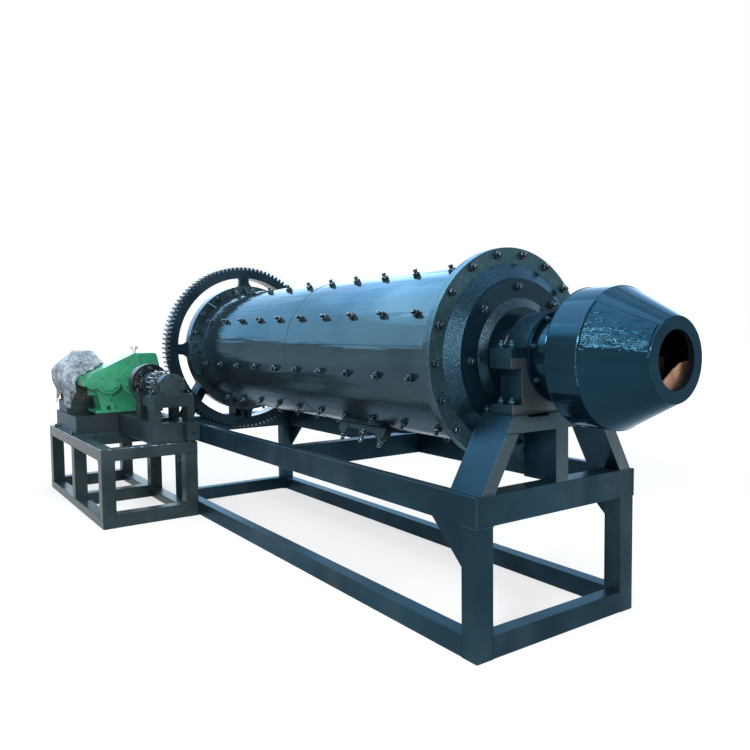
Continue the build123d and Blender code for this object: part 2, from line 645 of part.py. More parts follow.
def make_pinion_bearings():
    """Two bearing blocks with a foot, a cap with cheeks and round covers."""
    y, z = pinion_y, pinion_z
    blocks = []
    for middle, out in ((front_pedestal_x, 1), (rear_pedestal_x, -1)):
        x = around(middle, BLOCK_LENGTH)
        block = disc(x, BLOCK_RADIUS, y, z)
        block += box(x, around(y, 2 * BLOCK_RADIUS), (pedestal_top, z))
        foot_z = (pedestal_top, pedestal_top + BLOCK_FOOT_HEIGHT)
        block += box(x, around(y, 2 * BLOCK_FOOT_HALF_WIDTH), foot_z)
        cheek_z = (z - BLOCK_CHEEK_HEIGHT, z + BLOCK_CHEEK_HEIGHT / 2)
        block += box(around(middle, BLOCK_LENGTH / 2), around(y, 2 * BLOCK_CHEEK_HALF_WIDTH), cheek_z)
        cover_x = middle + out * (BLOCK_LENGTH / 2 + BLOCK_COVER_THICKNESS / 2)
        block += disc(around(cover_x, BLOCK_COVER_THICKNESS), BLOCK_COVER_RADIUS, y, z)
        if out > 0:
            rim_x = cover_x + BLOCK_COVER_THICKNESS / 2
            hollow_x = (rim_x - BLOCK_COVER_THICKNESS / 3, rim_x + BLOCK_COVER_THICKNESS)
            block -= disc(hollow_x, BLOCK_COVER_RECESS_RADIUS, y, z)
            shaft_x = (x[0] - BLOCK_LENGTH, x[1] - BLOCK_COVER_THICKNESS / 2)
        else:
            shaft_x = around(middle, BLOCK_LENGTH * 3)
        above = box(around(middle, BLOCK_LENGTH * 2), around(y, FRAME_WIDTH), (pedestal_top, axis_height * 2))
        block &= above
        blocks.append(block - disc(shaft_x, PINION_SHAFT_RADIUS + JOURNAL_CLEARANCE, y, z))
    parts["pinion_bearings"] = joined(blocks)


def make_pedestals():
    """Two welded trestles on the sub-base, tied along their outer side, with the gear rim between."""
    y0 = pinion_y - PEDESTAL_OVERHANG
    y_range = (y0, stand_inner_y)
    z_range = (subbase_top, pedestal_top)
    rail_low = pedestal_top - PEDESTAL_RAIL_HEIGHT
    window_y = (y_range[0] + PEDESTAL_POST_WIDTH, y_range[1] - PEDESTAL_POST_WIDTH)
    lengths = ((front_pedestal_x, FRONT_PEDESTAL_LENGTH), (rear_pedestal_x, REAR_PEDESTAL_LENGTH))
    frame = None
    for middle, length in lengths:
        trestle = box(around(middle, length), y_range, z_range)
        trestle -= box(around(middle, length * 2), window_y, (subbase_top, rail_low))
        frame = trestle if frame is None else frame + trestle
    tie_y = (y0 + PEDESTAL_TIE_INSET, y0 + PEDESTAL_TIE_INSET + PEDESTAL_TIE_THICKNESS)
    frame += box((rear_pedestal_x, front_pedestal_x), tie_y, (rail_low, pedestal_top))
    parts["pinion_pedestals"] = frame


def make_stand():
    x1 = stand_front_x
    x0 = x1 - STAND_LENGTH
    y0, y1 = stand_outer_y, stand_inner_y
    t = STAND_TUBE_WIDTH
    top = (stand_height - STAND_TOP_RAIL_HEIGHT, stand_height)
    runner = (0, STAND_RUNNER_HEIGHT)
    low = (0, STAND_BOTTOM_RAIL_HEIGHT)
    post_x = (x0, (x0 + x1 - t) / 2, x1 - t)
    sides = (y0, y1 - t)
    posts = [tube((x, x + t), (y, y + t), (runner[1], top[0]), "Z") for x in post_x for y in sides]
    parts["stand_posts"] = joined(posts)
    parts["stand_top_side_rails"] = joined(tube((x0, x1), (y, y + t), top, "X") for y in sides)
    parts["stand_side_runners"] = joined(tube((x0, x1), (y, y + t), runner, "X") for y in sides)
    inner = (y0 + t, y1 - t)
    parts["stand_top_end_rails"] = joined(tube((x, x + t), inner, top, "Y") for x in post_x)
    parts["stand_bottom_end_rails"] = joined(tube((x, x + t), inner, low, "Y") for x in post_x)


def channel_frame(x, y, z, cross_x):
    """A rectangular frame of channels, open at the top, with a cross channel."""
    width = SUBBASE_CHANNEL_WIDTH
    inside_y = (y[0] + width, y[1] - width)
    frame = box(x, y, z)
    for gap_x in ((x[0] + width, cross_x - width / 2), (cross_x + width / 2, x[1] - width)):
        frame -= box(gap_x, inside_y, (z[0] - width, z[1] + width))
    return frame


def make_subbases():
    z = (stand_height, subbase_top)
    y1 = stand_inner_y
    x1 = motor_base_front_x
    x = (x1 - MOTOR_BASE_LENGTH, x1)
    cross_x = motor_front_x + SUBBASE_CHANNEL_WIDTH / 2
    motor_base = channel_frame(x, (stand_outer_y + MOTOR_BASE_INSET, y1), z, cross_x)
    parts["motor_subbase"] = motor_base
    x = (x1 + SUBBASE_GAP, bearing_base_front_x)
    y = (stand_outer_y + BEARING_BASE_INSET, y1)
    base = channel_frame(x, y, z, rear_pedestal_x)
    stub_x = (bearing_base_front_x, bearing_base_front_x + END_STUB_LENGTH)
    stub_low = stand_height + END_STUB_RISE
    stub = box(stub_x, (y1 - END_STUB_WIDTH, y1), (stub_low, stub_low + END_STUB_HEIGHT))
    hole_x = (stub_x[1] - END_STUB_HOLE_DEPTH, stub_x[1])
    hole_y = y1 - END_STUB_WIDTH / 2
    stub -= disc(hole_x, END_STUB_HOLE_RADIUS, hole_y, stub_low + END_STUB_HOLE_HEIGHT)
    parts["bearing_subbase"] = base + stub


def make_reducer():
    y, z = pinion_y, pinion_z
    x = around(reducer_x, REDUCER_WIDTH)
    lower_x = around(reducer_x, REDUCER_LOWER_WIDTH)
    split_x = around(reducer_x, REDUCER_SPLIT_WIDTH)
    boss_x = around(reducer_x, REDUCER_BOSS_WIDTH)
    through_x = around(reducer_x, REDUCER_SPLIT_WIDTH * 2)
    floor = subbase_top + PACKING_HEIGHT
    nose_y = input_y - REDUCER_NOSE_LENGTH
    back_y = y + REDUCER_BIG_RADIUS
    lower_nose_y = nose_y + REDUCER_LOWER_SETBACK
    foot_front_y = lower_nose_y + REDUCER_FOOT_TAPER
    foot_y = (lower_nose_y, back_y - REDUCER_SPLIT_OVERHANG)
    shaft = disc(through_x, REDUCER_SHAFT_RADIUS + JOURNAL_CLEARANCE, y, z)
    axes = (
        (y, OUTPUT_BOSS_RADIUS),
        (y - INTERMEDIATE_OFFSET, INTERMEDIATE_BOSS_RADIUS),
        (input_y, INPUT_BOSS_RADIUS),
    )
    bosses = None
    for axis_y, radius in axes:
        boss = disc(boss_x, radius, axis_y, z)
        bosses = boss if bosses is None else bosses + boss
    flange_y = (nose_y - REDUCER_NOSE_OVERHANG, back_y + REDUCER_SPLIT_OVERHANG)
    flange_z = (z - REDUCER_SPLIT_THICKNESS, z + REDUCER_SPLIT_THICKNESS)
    flange = box(split_x, flange_y, flange_z)
    flange = fillet(flange.edges().filter_by(Axis.Z), REDUCER_SPLIT_CORNER_RADIUS)
    flange += bosses
    below = box(through_x, around(y, 2 * FRAME_WIDTH), (floor, z))
    above = box(through_x, around(y, 2 * FRAME_WIDTH), (z, z + REDUCER_BIG_RADIUS))

    lower = extruded_x([(lower_nose_y, z), (foot_front_y, floor), (foot_y[1], floor), (back_y, z)], lower_x)
    lower += box(around(reducer_x, REDUCER_FOOT_WIDTH), foot_y, (floor, floor + REDUCER_FOOT_HEIGHT))
    lower += flange & below
    lower += reducer_ribs(lower_x, floor)
    lug_z = (flange_z[0] - LIFTING_LUG_HEIGHT, flange_z[0])
    lug_y = (lower_nose_y - LIFTING_LUG_LENGTH, lower_nose_y + LIFTING_LUG_LENGTH)
    lower += box(around(reducer_x, LIFTING_LUG_WIDTH), lug_y, lug_z)
    parts["reducer_lower_case"] = lower - shaft

    top = z + REDUCER_BIG_RADIUS
    outline = [
        (nose_y, z),
        (back_y, z),
        (back_y - REDUCER_BACK_LEAN, top),
        (y - REDUCER_RIDGE_LENGTH, top),
        (nose_y, z + REDUCER_NOSE_RISE),
    ]
    upper = extruded_x(outline, x)
    edges = [e for e in upper.edges().filter_by(Axis.X) if e.center().Z > flange_z[1]]
    upper = fillet(edges, REDUCER_EDGE_RADIUS)
    upper += flange & above
    rib_x = (x[0] - REDUCER_RIB_DEPTH, x[1] + REDUCER_RIB_DEPTH)
    rib_y = (y, y + REDUCER_RIB_THICKNESS)
    upper += box(rib_x, rib_y, (z + OUTPUT_BOSS_RADIUS / 2, top - REDUCER_RIB_DEPTH / 2))
    parts["reducer_upper_case"] = upper - shaft

    covers = []
    for out, face_x in ((1, boss_x[1]), (-1, boss_x[0])):
        cover_x = (face_x, face_x + out * BEARING_COVER_THICKNESS)
        rim_x = (cover_x[1], cover_x[1] + out * BEARING_COVER_RIM_HEIGHT)
        for axis_y, radius in axes:
            if out < 0 and axis_y == input_y:
                continue
            open_end = out > 0 and axis_y == y
            hole = REDUCER_SHAFT_RADIUS + RUNNING_CLEARANCE if open_end else 0.0
            cover_radius = radius - BEARING_COVER_LEDGE
            cover = disc(cover_x, cover_radius, axis_y, z, hole=hole)
            covers.append(cover + disc(rim_x, cover_radius - BEARING_COVER_RIM, axis_y, z, hole=hole))
    parts["reducer_bearing_covers"] = joined(covers)

    packing = []
    for side in (-1, 1):
        middle = reducer_x + side * (REDUCER_FOOT_WIDTH - PACKING_WIDTH) / 2
        packing.append(box(around(middle, PACKING_WIDTH), foot_y, (subbase_top, floor)))
    parts["reducer_packing"] = joined(packing)
    breather_y = y + REDUCER_SPLIT_THICKNESS
    stem_top = top + BREATHER_STEM_HEIGHT
    stem = Cylinder(BREATHER_STEM_RADIUS, BREATHER_STEM_HEIGHT)
    cap = Cylinder(BREATHER_CAP_RADIUS, BREATHER_CAP_HEIGHT)
    breather = Pos(reducer_x, breather_y, top + BREATHER_STEM_HEIGHT / 2) * stem
    breather += Pos(reducer_x, breather_y, stem_top + BREATHER_CAP_HEIGHT / 2) * cap
    parts["reducer_breather"] = breather


def reducer_ribs(x, floor):
    """A web under the intermediate boss and a rib over the foot, on both faces of the lower case."""
    rib_x = (x[0] - REDUCER_RIB_DEPTH, x[1] + REDUCER_RIB_DEPTH)
    web_y = pinion_y - INTERMEDIATE_OFFSET + REDUCER_RIB_THICKNESS / 2
    web_top = pinion_z - INTERMEDIATE_BOSS_RADIUS + REDUCER_RIB_THICKNESS / 2
    web = extruded_x([
        (web_y - BOSS_WEB_WIDTH / 2, web_top),
        (web_y, web_top - BOSS_WEB_HEIGHT),
        (web_y + BOSS_WEB_WIDTH / 2, web_top),
    ], rib_x)
    foot_x = around(reducer_x, REDUCER_FOOT_WIDTH)
    rib_y = (web_y, web_y + REDUCER_RIB_THICKNESS)
    return web + box(foot_x, rib_y, (floor, floor + REDUCER_FOOT_HEIGHT + FOOT_RIB_HEIGHT))


def motor_form(x, grow):
    """The motor's barrel with its terminal box on top, grown outwards on every side."""
    z = pinion_z
    middle = (x[0] + x[1]) / 2
    form = disc((x[0] - grow, x[1] + grow), MOTOR_RADIUS + grow, input_y, z)
    box_x = around(middle, TERMINAL_BOX_LENGTH + 2 * grow)
    box_y = around(input_y + TERMINAL_BOX_OFFSET, TERMINAL_BOX_WIDTH + 2 * grow)
    return form + box(box_x, box_y, (z, z + TERMINAL_BOX_TOP + grow))


def make_motor():
    z = pinion_z
    x = (motor_front_x - MOTOR_LENGTH, motor_front_x)
    middle = (x[0] + x[1]) / 2
    stool_top = z - MOTOR_RADIUS - WRAP_THICKNESS
    stool_x = around(middle, STOOL_LENGTH)
    stool = box(stool_x, around(input_y, STOOL_WIDTH), (subbase_top, stool_top))
    recess_x = (stool_x[1] - STOOL_RECESS_DEPTH, stool_x[1])
    recess_y = around(input_y, STOOL_WIDTH - 2 * STOOL_PLATE_THICKNESS)
    recess_z = (subbase_top + STOOL_PLATE_THICKNESS, stool_top - STOOL_PLATE_THICKNESS)
    parts["motor_stool"] = stool - box(recess_x, recess_y, recess_z)
    foot_y = around(input_y, 2 * MOTOR_FOOT_HALF_WIDTH)
    feet = box((x[0] + MOTOR_FOOT_INSET, x[1] - MOTOR_FOOT_INSET), foot_y, (stool_top, z))
    spigot_x = (x[1], reducer_x - REDUCER_BOSS_WIDTH / 2)
    spigot = disc(spigot_x, MOTOR_SPIGOT_RADIUS, input_y, z)
    parts["motor"] = motor_form(x, 0) + feet + spigot
    hood = motor_form(x, WRAP_THICKNESS) - motor_form(x, WRAP_CLEARANCE)
    hood -= disc(around(x[1], 2 * MOTOR_SETBACK), MOTOR_SPIGOT_RADIUS + WRAP_CLEARANCE, input_y, z)
    skirt_z = (z - WRAP_SKIRT_HEIGHT, axis_height * 2)
    hood &= box(around(middle, MOTOR_LENGTH * 2), around(input_y, FRAME_WIDTH), skirt_z)
    room_y = around(input_y, 2 * (MOTOR_FOOT_HALF_WIDTH + WRAP_CLEARANCE))
    parts["motor_wrap"] = hood - box(x, room_y, (stool_top, z))


make_frame()
make_trestle("feed", feed_trestle_x, FEED_TRESTLE_DEPTH)
make_trestle("gear", gear_trestle_x, GEAR_TRESTLE_DEPTH)
make_bearing("feed", feed_trestle_x)
make_bearing("gear", gear_trestle_x)
make_shell()
make_manhole()
make_ends()
make_girth_gear()
make_feeder()
make_pinion_line()
make_pinion_bearings()
make_pedestals()
make_stand()
make_subbases()
make_reducer()
make_motor()

# The origin goes to the middle of the footprint, on the floor
whole = Compound(list(parts.values())).bounding_box()
shift = Pos(-(whole.min.X + whole.max.X) / 2, -(whole.min.Y + whole.max.Y) / 2, -whole.min.Z)
os.makedirs("parts", exist_ok=True)
for name, solid in parts.items():
    export_step(shift * solid, "parts/" + name + ".step")
print("origin shift", shift.position)
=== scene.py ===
from math import atan2, cos, pi, radians, sin, sqrt

import bpy
from mathutils import Matrix, Vector, noise


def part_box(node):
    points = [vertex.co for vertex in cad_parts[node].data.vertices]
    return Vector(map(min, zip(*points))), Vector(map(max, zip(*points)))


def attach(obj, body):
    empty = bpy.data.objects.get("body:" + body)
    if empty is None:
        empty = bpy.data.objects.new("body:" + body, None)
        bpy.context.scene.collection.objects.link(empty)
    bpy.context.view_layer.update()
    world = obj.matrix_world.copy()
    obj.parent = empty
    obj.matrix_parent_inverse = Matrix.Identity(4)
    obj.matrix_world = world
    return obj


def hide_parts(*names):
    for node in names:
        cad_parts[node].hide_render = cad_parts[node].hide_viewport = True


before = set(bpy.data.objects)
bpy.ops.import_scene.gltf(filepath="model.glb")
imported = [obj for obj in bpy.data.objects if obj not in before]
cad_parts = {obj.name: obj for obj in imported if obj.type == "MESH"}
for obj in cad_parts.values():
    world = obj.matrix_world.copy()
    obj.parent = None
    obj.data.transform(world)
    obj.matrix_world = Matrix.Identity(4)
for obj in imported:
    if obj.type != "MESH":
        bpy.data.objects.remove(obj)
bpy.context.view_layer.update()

# Ball mill seen from its feed end. Metres; the drum lies along X, its feed end towards +X,
# and the drive stands on the -Y side.

# Camera, floor and light
# The camera stands at eye height beside the feed end, over a plain pale floor. Wide blue panels are
# the sky that the gloss reflects, and small ones near the camera give the highlights and the key.
frame_front_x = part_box("frame_posts")[1].x
shell_low, shell_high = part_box("drum_shell")
axis_y = (shell_low.y + shell_high.y) / 2
axis_z = (shell_low.z + shell_high.z) / 2

eye_height = 1.4324
bpy.ops.object.camera_add(location=(frame_front_x + 2.2026, axis_y - 2.5923, eye_height))
camera = bpy.context.object
camera.data.sensor_width = 36.0
camera.data.lens = 34.33
heading = Matrix.Rotation(radians(55.0908), 3, "Z")
pitch = Matrix.Rotation(radians(90.0 - 3.4547), 3, "X")
roll = Matrix.Rotation(radians(-0.6298), 3, "Z")
camera.rotation_euler = (heading @ pitch @ roll).to_euler()
bpy.context.scene.camera = camera
bpy.context.scene.view_settings.view_transform = "Standard"

for name, place, size, power, tint, lights_matt in (
    ("sky_panel", (0.0, axis_y - 0.8, 5.2), (8.0, 4.0), 260.0, (0.8, 0.9, 1.0), True),
    ("sky_sheen", (0.0, axis_y - 0.4, 5.6), (12.0, 8.0), 600.0, (0.42, 0.68, 0.95), False),
    ("far_sheen", (-1.0, axis_y + 7.0, 5.0), (16.0, 6.0), 420.0, (0.3, 0.66, 1.0), False),
    ("end_sheen", (-12.0, axis_y - 1.0, 8.0), (22.0, 11.0), 2400.0, (0.44, 0.72, 0.96), False),
    ("key_panel", (4.5, axis_y - 5.4, 4.2), (1.0, 1.0), 230.0, (1.0, 0.98, 0.95), True),
    ("front_panel", (6.5, axis_y - 0.6, 2.2), (2.5, 2.5), 130.0, (1.0, 0.93, 0.86), True),
    ("side_sheen", (6.2, axis_y - 3.1, 1.7), (0.9, 3.0), 90.0, (0.9, 0.96, 1.0), False),
):
    bpy.ops.object.light_add(type="AREA", location=place)
    lamp = bpy.context.object
    lamp.name = name
    lamp.data.shape = "RECTANGLE"
    lamp.data.size, lamp.data.size_y = size
    lamp.data.energy = power
    lamp.data.color = tint
    lamp.visible_diffuse = lights_matt
    lamp.visible_camera = False
    aim = Vector((0.0, axis_y, 0.9)) - Vector(place)
    lamp.rotation_euler = aim.to_track_quat("-Z", "Y").to_euler()

world = bpy.data.worlds.new("open_sky")
bpy.context.scene.world = world
world.use_nodes = True
world_nodes = world.node_tree.nodes
world_links = world.node_tree.links
world_nodes.clear()
seen_sky = world_nodes.new("ShaderNodeBackground")
seen_sky.inputs["Color"].default_value = (1.0, 1.0, 1.0, 1.0)
seen_sky.inputs["Strength"].default_value = 1.0
lit_sky = world_nodes.new("ShaderNodeBackground")
lit_sky.inputs["Color"].default_value = (0.86, 0.93, 1.0, 1.0)
lit_sky.inputs["Strength"].default_value = 0.42
rays = world_nodes.new("ShaderNodeLightPath")
seen_directly = world_nodes.new("ShaderNodeMath")
seen_directly.operation = "MAXIMUM"
seen_at_all = world_nodes.new("ShaderNodeMath")
seen_at_all.operation = "MAXIMUM"
sky_mix = world_nodes.new("ShaderNodeMixShader")
sky_output = world_nodes.new("ShaderNodeOutputWorld")
world_links.new(rays.outputs["Is Camera Ray"], seen_directly.inputs[0])
world_links.new(rays.outputs["Is Glossy Ray"], seen_directly.inputs[1])
world_links.new(seen_directly.outputs[0], seen_at_all.inputs[0])
world_links.new(rays.outputs["Is Transmission Ray"], seen_at_all.inputs[1])
world_links.new(seen_at_all.outputs[0], sky_mix.inputs[0])
world_links.new(lit_sky.outputs[0], sky_mix.inputs[1])
world_links.new(seen_sky.outputs[0], sky_mix.inputs[2])
world_links.new(sky_mix.outputs[0], sky_output.inputs[0])

bpy.ops.mesh.primitive_circle_add(
    vertices=96, radius=60.0, fill_type="NGON", location=(0.0, 0.0, 0.0))
floor = bpy.context.object
floor.name = "floor"


class Value:
    """A number that changes over a surface. Python's operators on it add Math nodes."""

    def __init__(self, finish, socket):
        self.finish = finish
        self.socket = socket

    def math(self, operation, first, second):
        return self.finish.node("ShaderNodeMath", {"operation": operation}, {0: first, 1: second})

    def __add__(self, other):
        return self.math("ADD", self, other)

    def __sub__(self, other):
        return self.math("SUBTRACT", self, other)

    def __rsub__(self, other):
        return self.math("SUBTRACT", other, self)

    def __mul__(self, other):
        return self.math("MULTIPLY", self, other)

    def __pow__(self, other):
        return self.math("POWER", self, other)

    __radd__ = __add__
    __rmul__ = __mul__


class Finish:
    """One material: its nodes, and the patterns that its surface is made from."""

    def __init__(self, name):
        self.material = bpy.data.materials.new(name)
        self.material.use_nodes = True
        self.tree = self.material.node_tree
        self.tree.nodes.clear()
        self.place = self.node("ShaderNodeTexCoord", {}, {}, "Object")

    def node(self, kind, settings, sockets, take=0):
        """Adds a node, its settings first and then the values or links of its sockets."""
        node = self.tree.nodes.new(kind)
        for name, value in settings.items():
            setattr(node, name, value)
        for name, value in sockets.items():
            if isinstance(value, Value):
                self.tree.links.new(value.socket, node.inputs[name])
            else:
                node.inputs[name].default_value = value
        return None if take is None else Value(self, node.outputs[take])

    def noise(self, scale, detail=2.0, place=None):
        sockets = {"Vector": place or self.place, "Scale": scale, "Detail": detail}
        return self.node("ShaderNodeTexNoise", {}, sockets, "Fac")

    def stretched(self, x, y, z):
        """The surface's own place, stretched along each axis."""
        sockets = {0: self.place, 1: (x, y, z)}
        return self.node("ShaderNodeVectorMath", {"operation": "MULTIPLY"}, sockets)

    def along(self, axis):
        return self.node("ShaderNodeSeparateXYZ", {}, {0: self.place}, axis)

    def band(self, value, low, high):
        """0 below low, 1 above high and smooth between them."""
        sockets = {"Value": value, "From Min": low, "From Max": high}
        return self.node("ShaderNodeMapRange", {"interpolation_type": "SMOOTHSTEP"}, sockets)

    def mix(self, mask, first, second):
        return self.node("ShaderNodeMix", {"data_type": "RGBA"}, {0: mask, 6: first, 7: second}, 2)

    def bump(self, height, depth, under=None):
        sockets = {"Height": height, "Distance": depth}
        if under:
            sockets["Normal"] = under
        return self.node("ShaderNodeBump", {}, sockets)

    def radius_from(self, y, z):
        """The distance of the surface from a line along X."""
        across = (self.along("Y") - y) ** 2.0
        above = (self.along("Z") - z) ** 2.0
        return (across + above) ** 0.5

    def surface(self, **sockets):
        """The shader itself: each socket by its name, with low lines for spaces."""
        named = {name.replace("_", " "): value for name, value in sockets.items()}
        shader = self.node("ShaderNodeBsdfPrincipled", {}, named)
        self.node("ShaderNodeOutputMaterial", {}, {"Surface": shader}, take=None)
        return self.material


pale = Finish("pale_floor")
distance = (pale.along("X") ** 2.0 + pale.along("Y") ** 2.0) ** 0.5
far_off = pale.band(distance, 3.5, 9.0)
seen = pale.node("ShaderNodeLightPath", {}, {}, "Is Camera Ray")
seen = seen + pale.node("ShaderNodeLightPath", {}, {}, "Is Glossy Ray")
seen = seen + pale.node("ShaderNodeLightPath", {}, {}, "Is Transmission Ray")
glow = pale.mix(far_off, (0.66, 0.66, 0.66, 1.0), (1.0, 1.0, 1.0, 1.0))
floor.data.materials.append(pale.surface(
    Base_Color=(0.45, 0.45, 0.45, 1.0),
    Roughness=0.9,
    Specular_IOR_Level=0.0,
    Emission_Color=pale.mix(seen, (0.0, 0.0, 0.0, 1.0), glow),
    Emission_Strength=1.0,
))

# Main frame
# Hollow square posts and beams of rolled steel, cut square, welded at the corners and painted
# with a dark blue-grey gloss enamel that took dust while it dried.
edge_tint = (0.5, 0.66, 0.8, 1.0)


def enamel(
    name, colour, roughness=0.3, grain=260.0, grain_depth=0.0003, dent_depth=0.002,
    front_x=None, painted_front_light=0.2,
):
    """Gloss enamel over steel: grain is the skin of the metal and dents are its waves.

    Past front_x, the face towards the feed end is painted lighter in a dust grey: painted light on that face.
    """
    paint = Finish(name)
    cloud = paint.noise(1.9, 3.0)
    deep = [part * 0.72 for part in colour] + [1.0]
    full = [part * 1.3 for part in colour] + [1.0]
    tone = paint.mix(paint.band(cloud, 0.35, 0.68), tuple(deep), tuple(full))
    specks = paint.band(paint.noise(310.0, 2.0), 0.68, 0.76) * paint.band(paint.noise(9.0), 0.42, 0.62)
    smears = paint.band(paint.noise(2.6, 5.0, paint.stretched(1.0, 1.0, 0.4)), 0.46, 0.72)
    tone = paint.mix(specks * 0.35, tone, (0.2, 0.22, 0.23, 1.0))
    tone = paint.mix(smears * 0.1, tone, (0.22, 0.25, 0.25, 1.0))
    if front_x:
        # Painted light: past front_x the face towards the feed end is lightened in a dust grey.
        front = paint.band(paint.along("X"), front_x - 0.003, front_x - 0.001)
        tone = paint.mix(front * (painted_front_light + smears * 0.25), tone, (0.2, 0.245, 0.26, 1.0))
    runs = paint.noise(1.0, 3.0, paint.stretched(46.0, 46.0, 5.0))
    dents = paint.bump(paint.noise(3.3, 1.0), dent_depth)
    skin = paint.noise(grain, 3.0) + runs * 0.6
    return paint.surface(
        Base_Color=tone,
        Metallic=0.6,
        Roughness=roughness + cloud * 0.12 + smears * 0.08 + specks * 0.3,
        Specular_IOR_Level=0.1,
        Specular_Tint=edge_tint,
        Normal=paint.bump(skin, grain_depth, dents),
    )


def coat(material, *names):
    """Gives the material to whole pieces of the machine."""
    for name in names:
        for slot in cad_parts[name].material_slots:
            slot.material = material


def deselect():
    bpy.ops.object.select_all(action="DESELECT")


def settle(piece, name, body, material, smooth=35.0):
    """Names a finished piece, applies its place, and hangs it on its body in its material."""
    deselect()
    piece.select_set(True)
    bpy.context.view_layer.objects.active = piece
    bpy.ops.object.transform_apply(location=True, rotation=True, scale=True)
    bpy.ops.object.shade_smooth_by_angle(angle=radians(smooth))
    piece.name = name
    piece.data.materials.clear()
    piece.data.materials.append(material)
    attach(piece, body)
    return piece


def apply_modifier(piece, kind, **settings):
    """Adds a modifier with its settings and applies it."""
    deselect()
    piece.select_set(True)
    bpy.context.view_layer.objects.active = piece
    modifier = piece.modifiers.new(kind.title(), kind)
    for name, value in settings.items():
        setattr(modifier, name, value)
    bpy.ops.object.modifier_apply(modifier=modifier.name)


def join(pieces):
    """Makes one piece of several."""
    deselect()
    for piece in pieces:
        piece.select_set(True)
    bpy.context.view_layer.objects.active = pieces[0]
    bpy.ops.object.join()
    return bpy.context.object


def beads(lines, thickness):
    """Round weld beads along straight lines from point to point, as one piece."""
    made = []
    for start, end in lines:
        start, end = Vector(start), Vector(end)
        along = end - start
        deselect()
        bpy.ops.mesh.primitive_cylinder_add(
            vertices=8, radius=thickness / 2, depth=along.length,
            location=(start + end) / 2, rotation=along.to_track_quat("Z", "Y").to_euler(),
        )
        made.append(bpy.context.object)
    return join(made)


frame_steel = enamel("frame_enamel", (0.013, 0.036, 0.053))
coat(
    frame_steel, "frame_lower_side_beams", "frame_lower_end_beams", "frame_posts",
    "frame_upper_side_beams", "frame_upper_cross_beams",
)

weld_bead = enamel("weld_bead", (0.03, 0.064, 0.082), 0.22, 150.0, 0.0016, 0.0)
posts_low, posts_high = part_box("frame_posts")
beam_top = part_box("frame_upper_side_beams")[1].z
post_width = 0.1
weld_and_edge_highlight_lines = []
for x in (posts_high.x, posts_high.x - post_width, posts_low.x, posts_low.x + post_width):
    for y in (posts_low.y, posts_high.y):
        side = 1 if y > axis_y else -1
        weld_and_edge_highlight_lines.append(((x, y, posts_high.z), (x, y - side * post_width, posts_high.z)))
for x, turn in ((posts_high.x, -1), (posts_low.x, 1)):
    for y in (posts_low.y, posts_high.y):
        weld_and_edge_highlight_lines.append(((x, y, posts_high.z), (x + turn * post_width, y, posts_high.z)))
        # The upright rods at the beam ends are painted highlight lines down the corners, in the lighter weld
        # enamel.
        weld_and_edge_highlight_lines.append(((x, y, posts_high.z), (x, y, beam_top)))
settle(beads(weld_and_edge_highlight_lines, 0.006), "frame_welds_and_edge_highlights", "root", weld_bead)

gusset_length = 0.2
gusset_drop = 0.187
gusset_thickness = 0.012
gusset_inset = 0.009
plates = []
for corner_x, turn in ((posts_high.x - post_width, -1), (posts_low.x + post_width, 1)):
    for side in (-1, 1):
        face_y = posts_high.y if side > 0 else posts_low.y
        middle_x = corner_x + turn * gusset_length / 2
        middle_z = posts_high.z - gusset_drop / 2
        deselect()
        bpy.ops.mesh.primitive_cube_add(size=1.0, location=(middle_x, face_y - side * gusset_inset, middle_z))
        plate = bpy.context.object
        plate.scale = (gusset_length, gusset_thickness, gusset_drop)
        bpy.ops.object.transform_apply(location=True, rotation=False, scale=True)
        bpy.ops.object.mode_set(mode="EDIT")
        bpy.ops.mesh.select_all(action="SELECT")
        bpy.ops.mesh.bisect(
            plane_co=(corner_x, face_y, posts_high.z - gusset_drop), use_fill=True, clear_outer=True,
            plane_no=(turn * gusset_drop, 0.0, -gusset_length))
        bpy.ops.object.mode_set(mode="OBJECT")
        apply_modifier(plate, "BEVEL", width=0.0015, segments=2)
        plates.append(plate)
gusset_plates = settle(join(plates), "frame_gusset_plates", "root", frame_steel)
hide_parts("frame_gussets")

# Trestles
# Sloping plate legs, a cross beam and a centre post carry each drum bearing above the frame.
# They are welded to the frame's side beams, and a near-black strip under each bearing is painted shadow in
# the gap there.
trestle_front_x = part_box("feed_trestle_beam")[1].x
# Past trestle_front_x the enamel paints light onto the trestles' faces towards the feed end.
trestle_steel = enamel("trestle_enamel", (0.009, 0.028, 0.044), 0.2, front_x=trestle_front_x)
for end in ("feed", "gear"):
    coat(trestle_steel, end + "_trestle_legs", end + "_trestle_beam", end + "_trestle_post")

leg_width = 0.08
leg_lines = []
leg_edge_highlight_lines = []
for end in ("feed", "gear"):
    leg_low, leg_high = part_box(end + "_trestle_legs")
    head_low, head_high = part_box(end + "_trestle_beam")
    for x in (leg_low.x, leg_high.x):
        for side in (-1, 1):
            foot = (x, axis_y + side * (leg_high.y - axis_y), leg_low.z)
            leg_lines.append((foot, (x, foot[1] - side * leg_width, foot[2])))
            seat = axis_y + side * (head_high.y - axis_y)
            leg_lines.append(((x, seat, head_low.z), (x, seat - side * leg_width, head_low.z)))
            leg_edge_highlight_lines.append((foot, (x, seat, head_low.z)))
    for side in (-1, 1):
        foot_y = axis_y + side * (leg_high.y - axis_y)
        leg_lines.append(((leg_low.x, foot_y, leg_low.z), (leg_high.x, foot_y, leg_low.z)))
settle(beads(leg_lines, 0.008), "trestle_welds", "root", weld_bead)
# Painted highlight lines: thin rods of the lighter weld enamel down the legs' edges.
settle(beads(leg_edge_highlight_lines, 0.003), "trestle_leg_edge_highlights", "root", weld_bead)
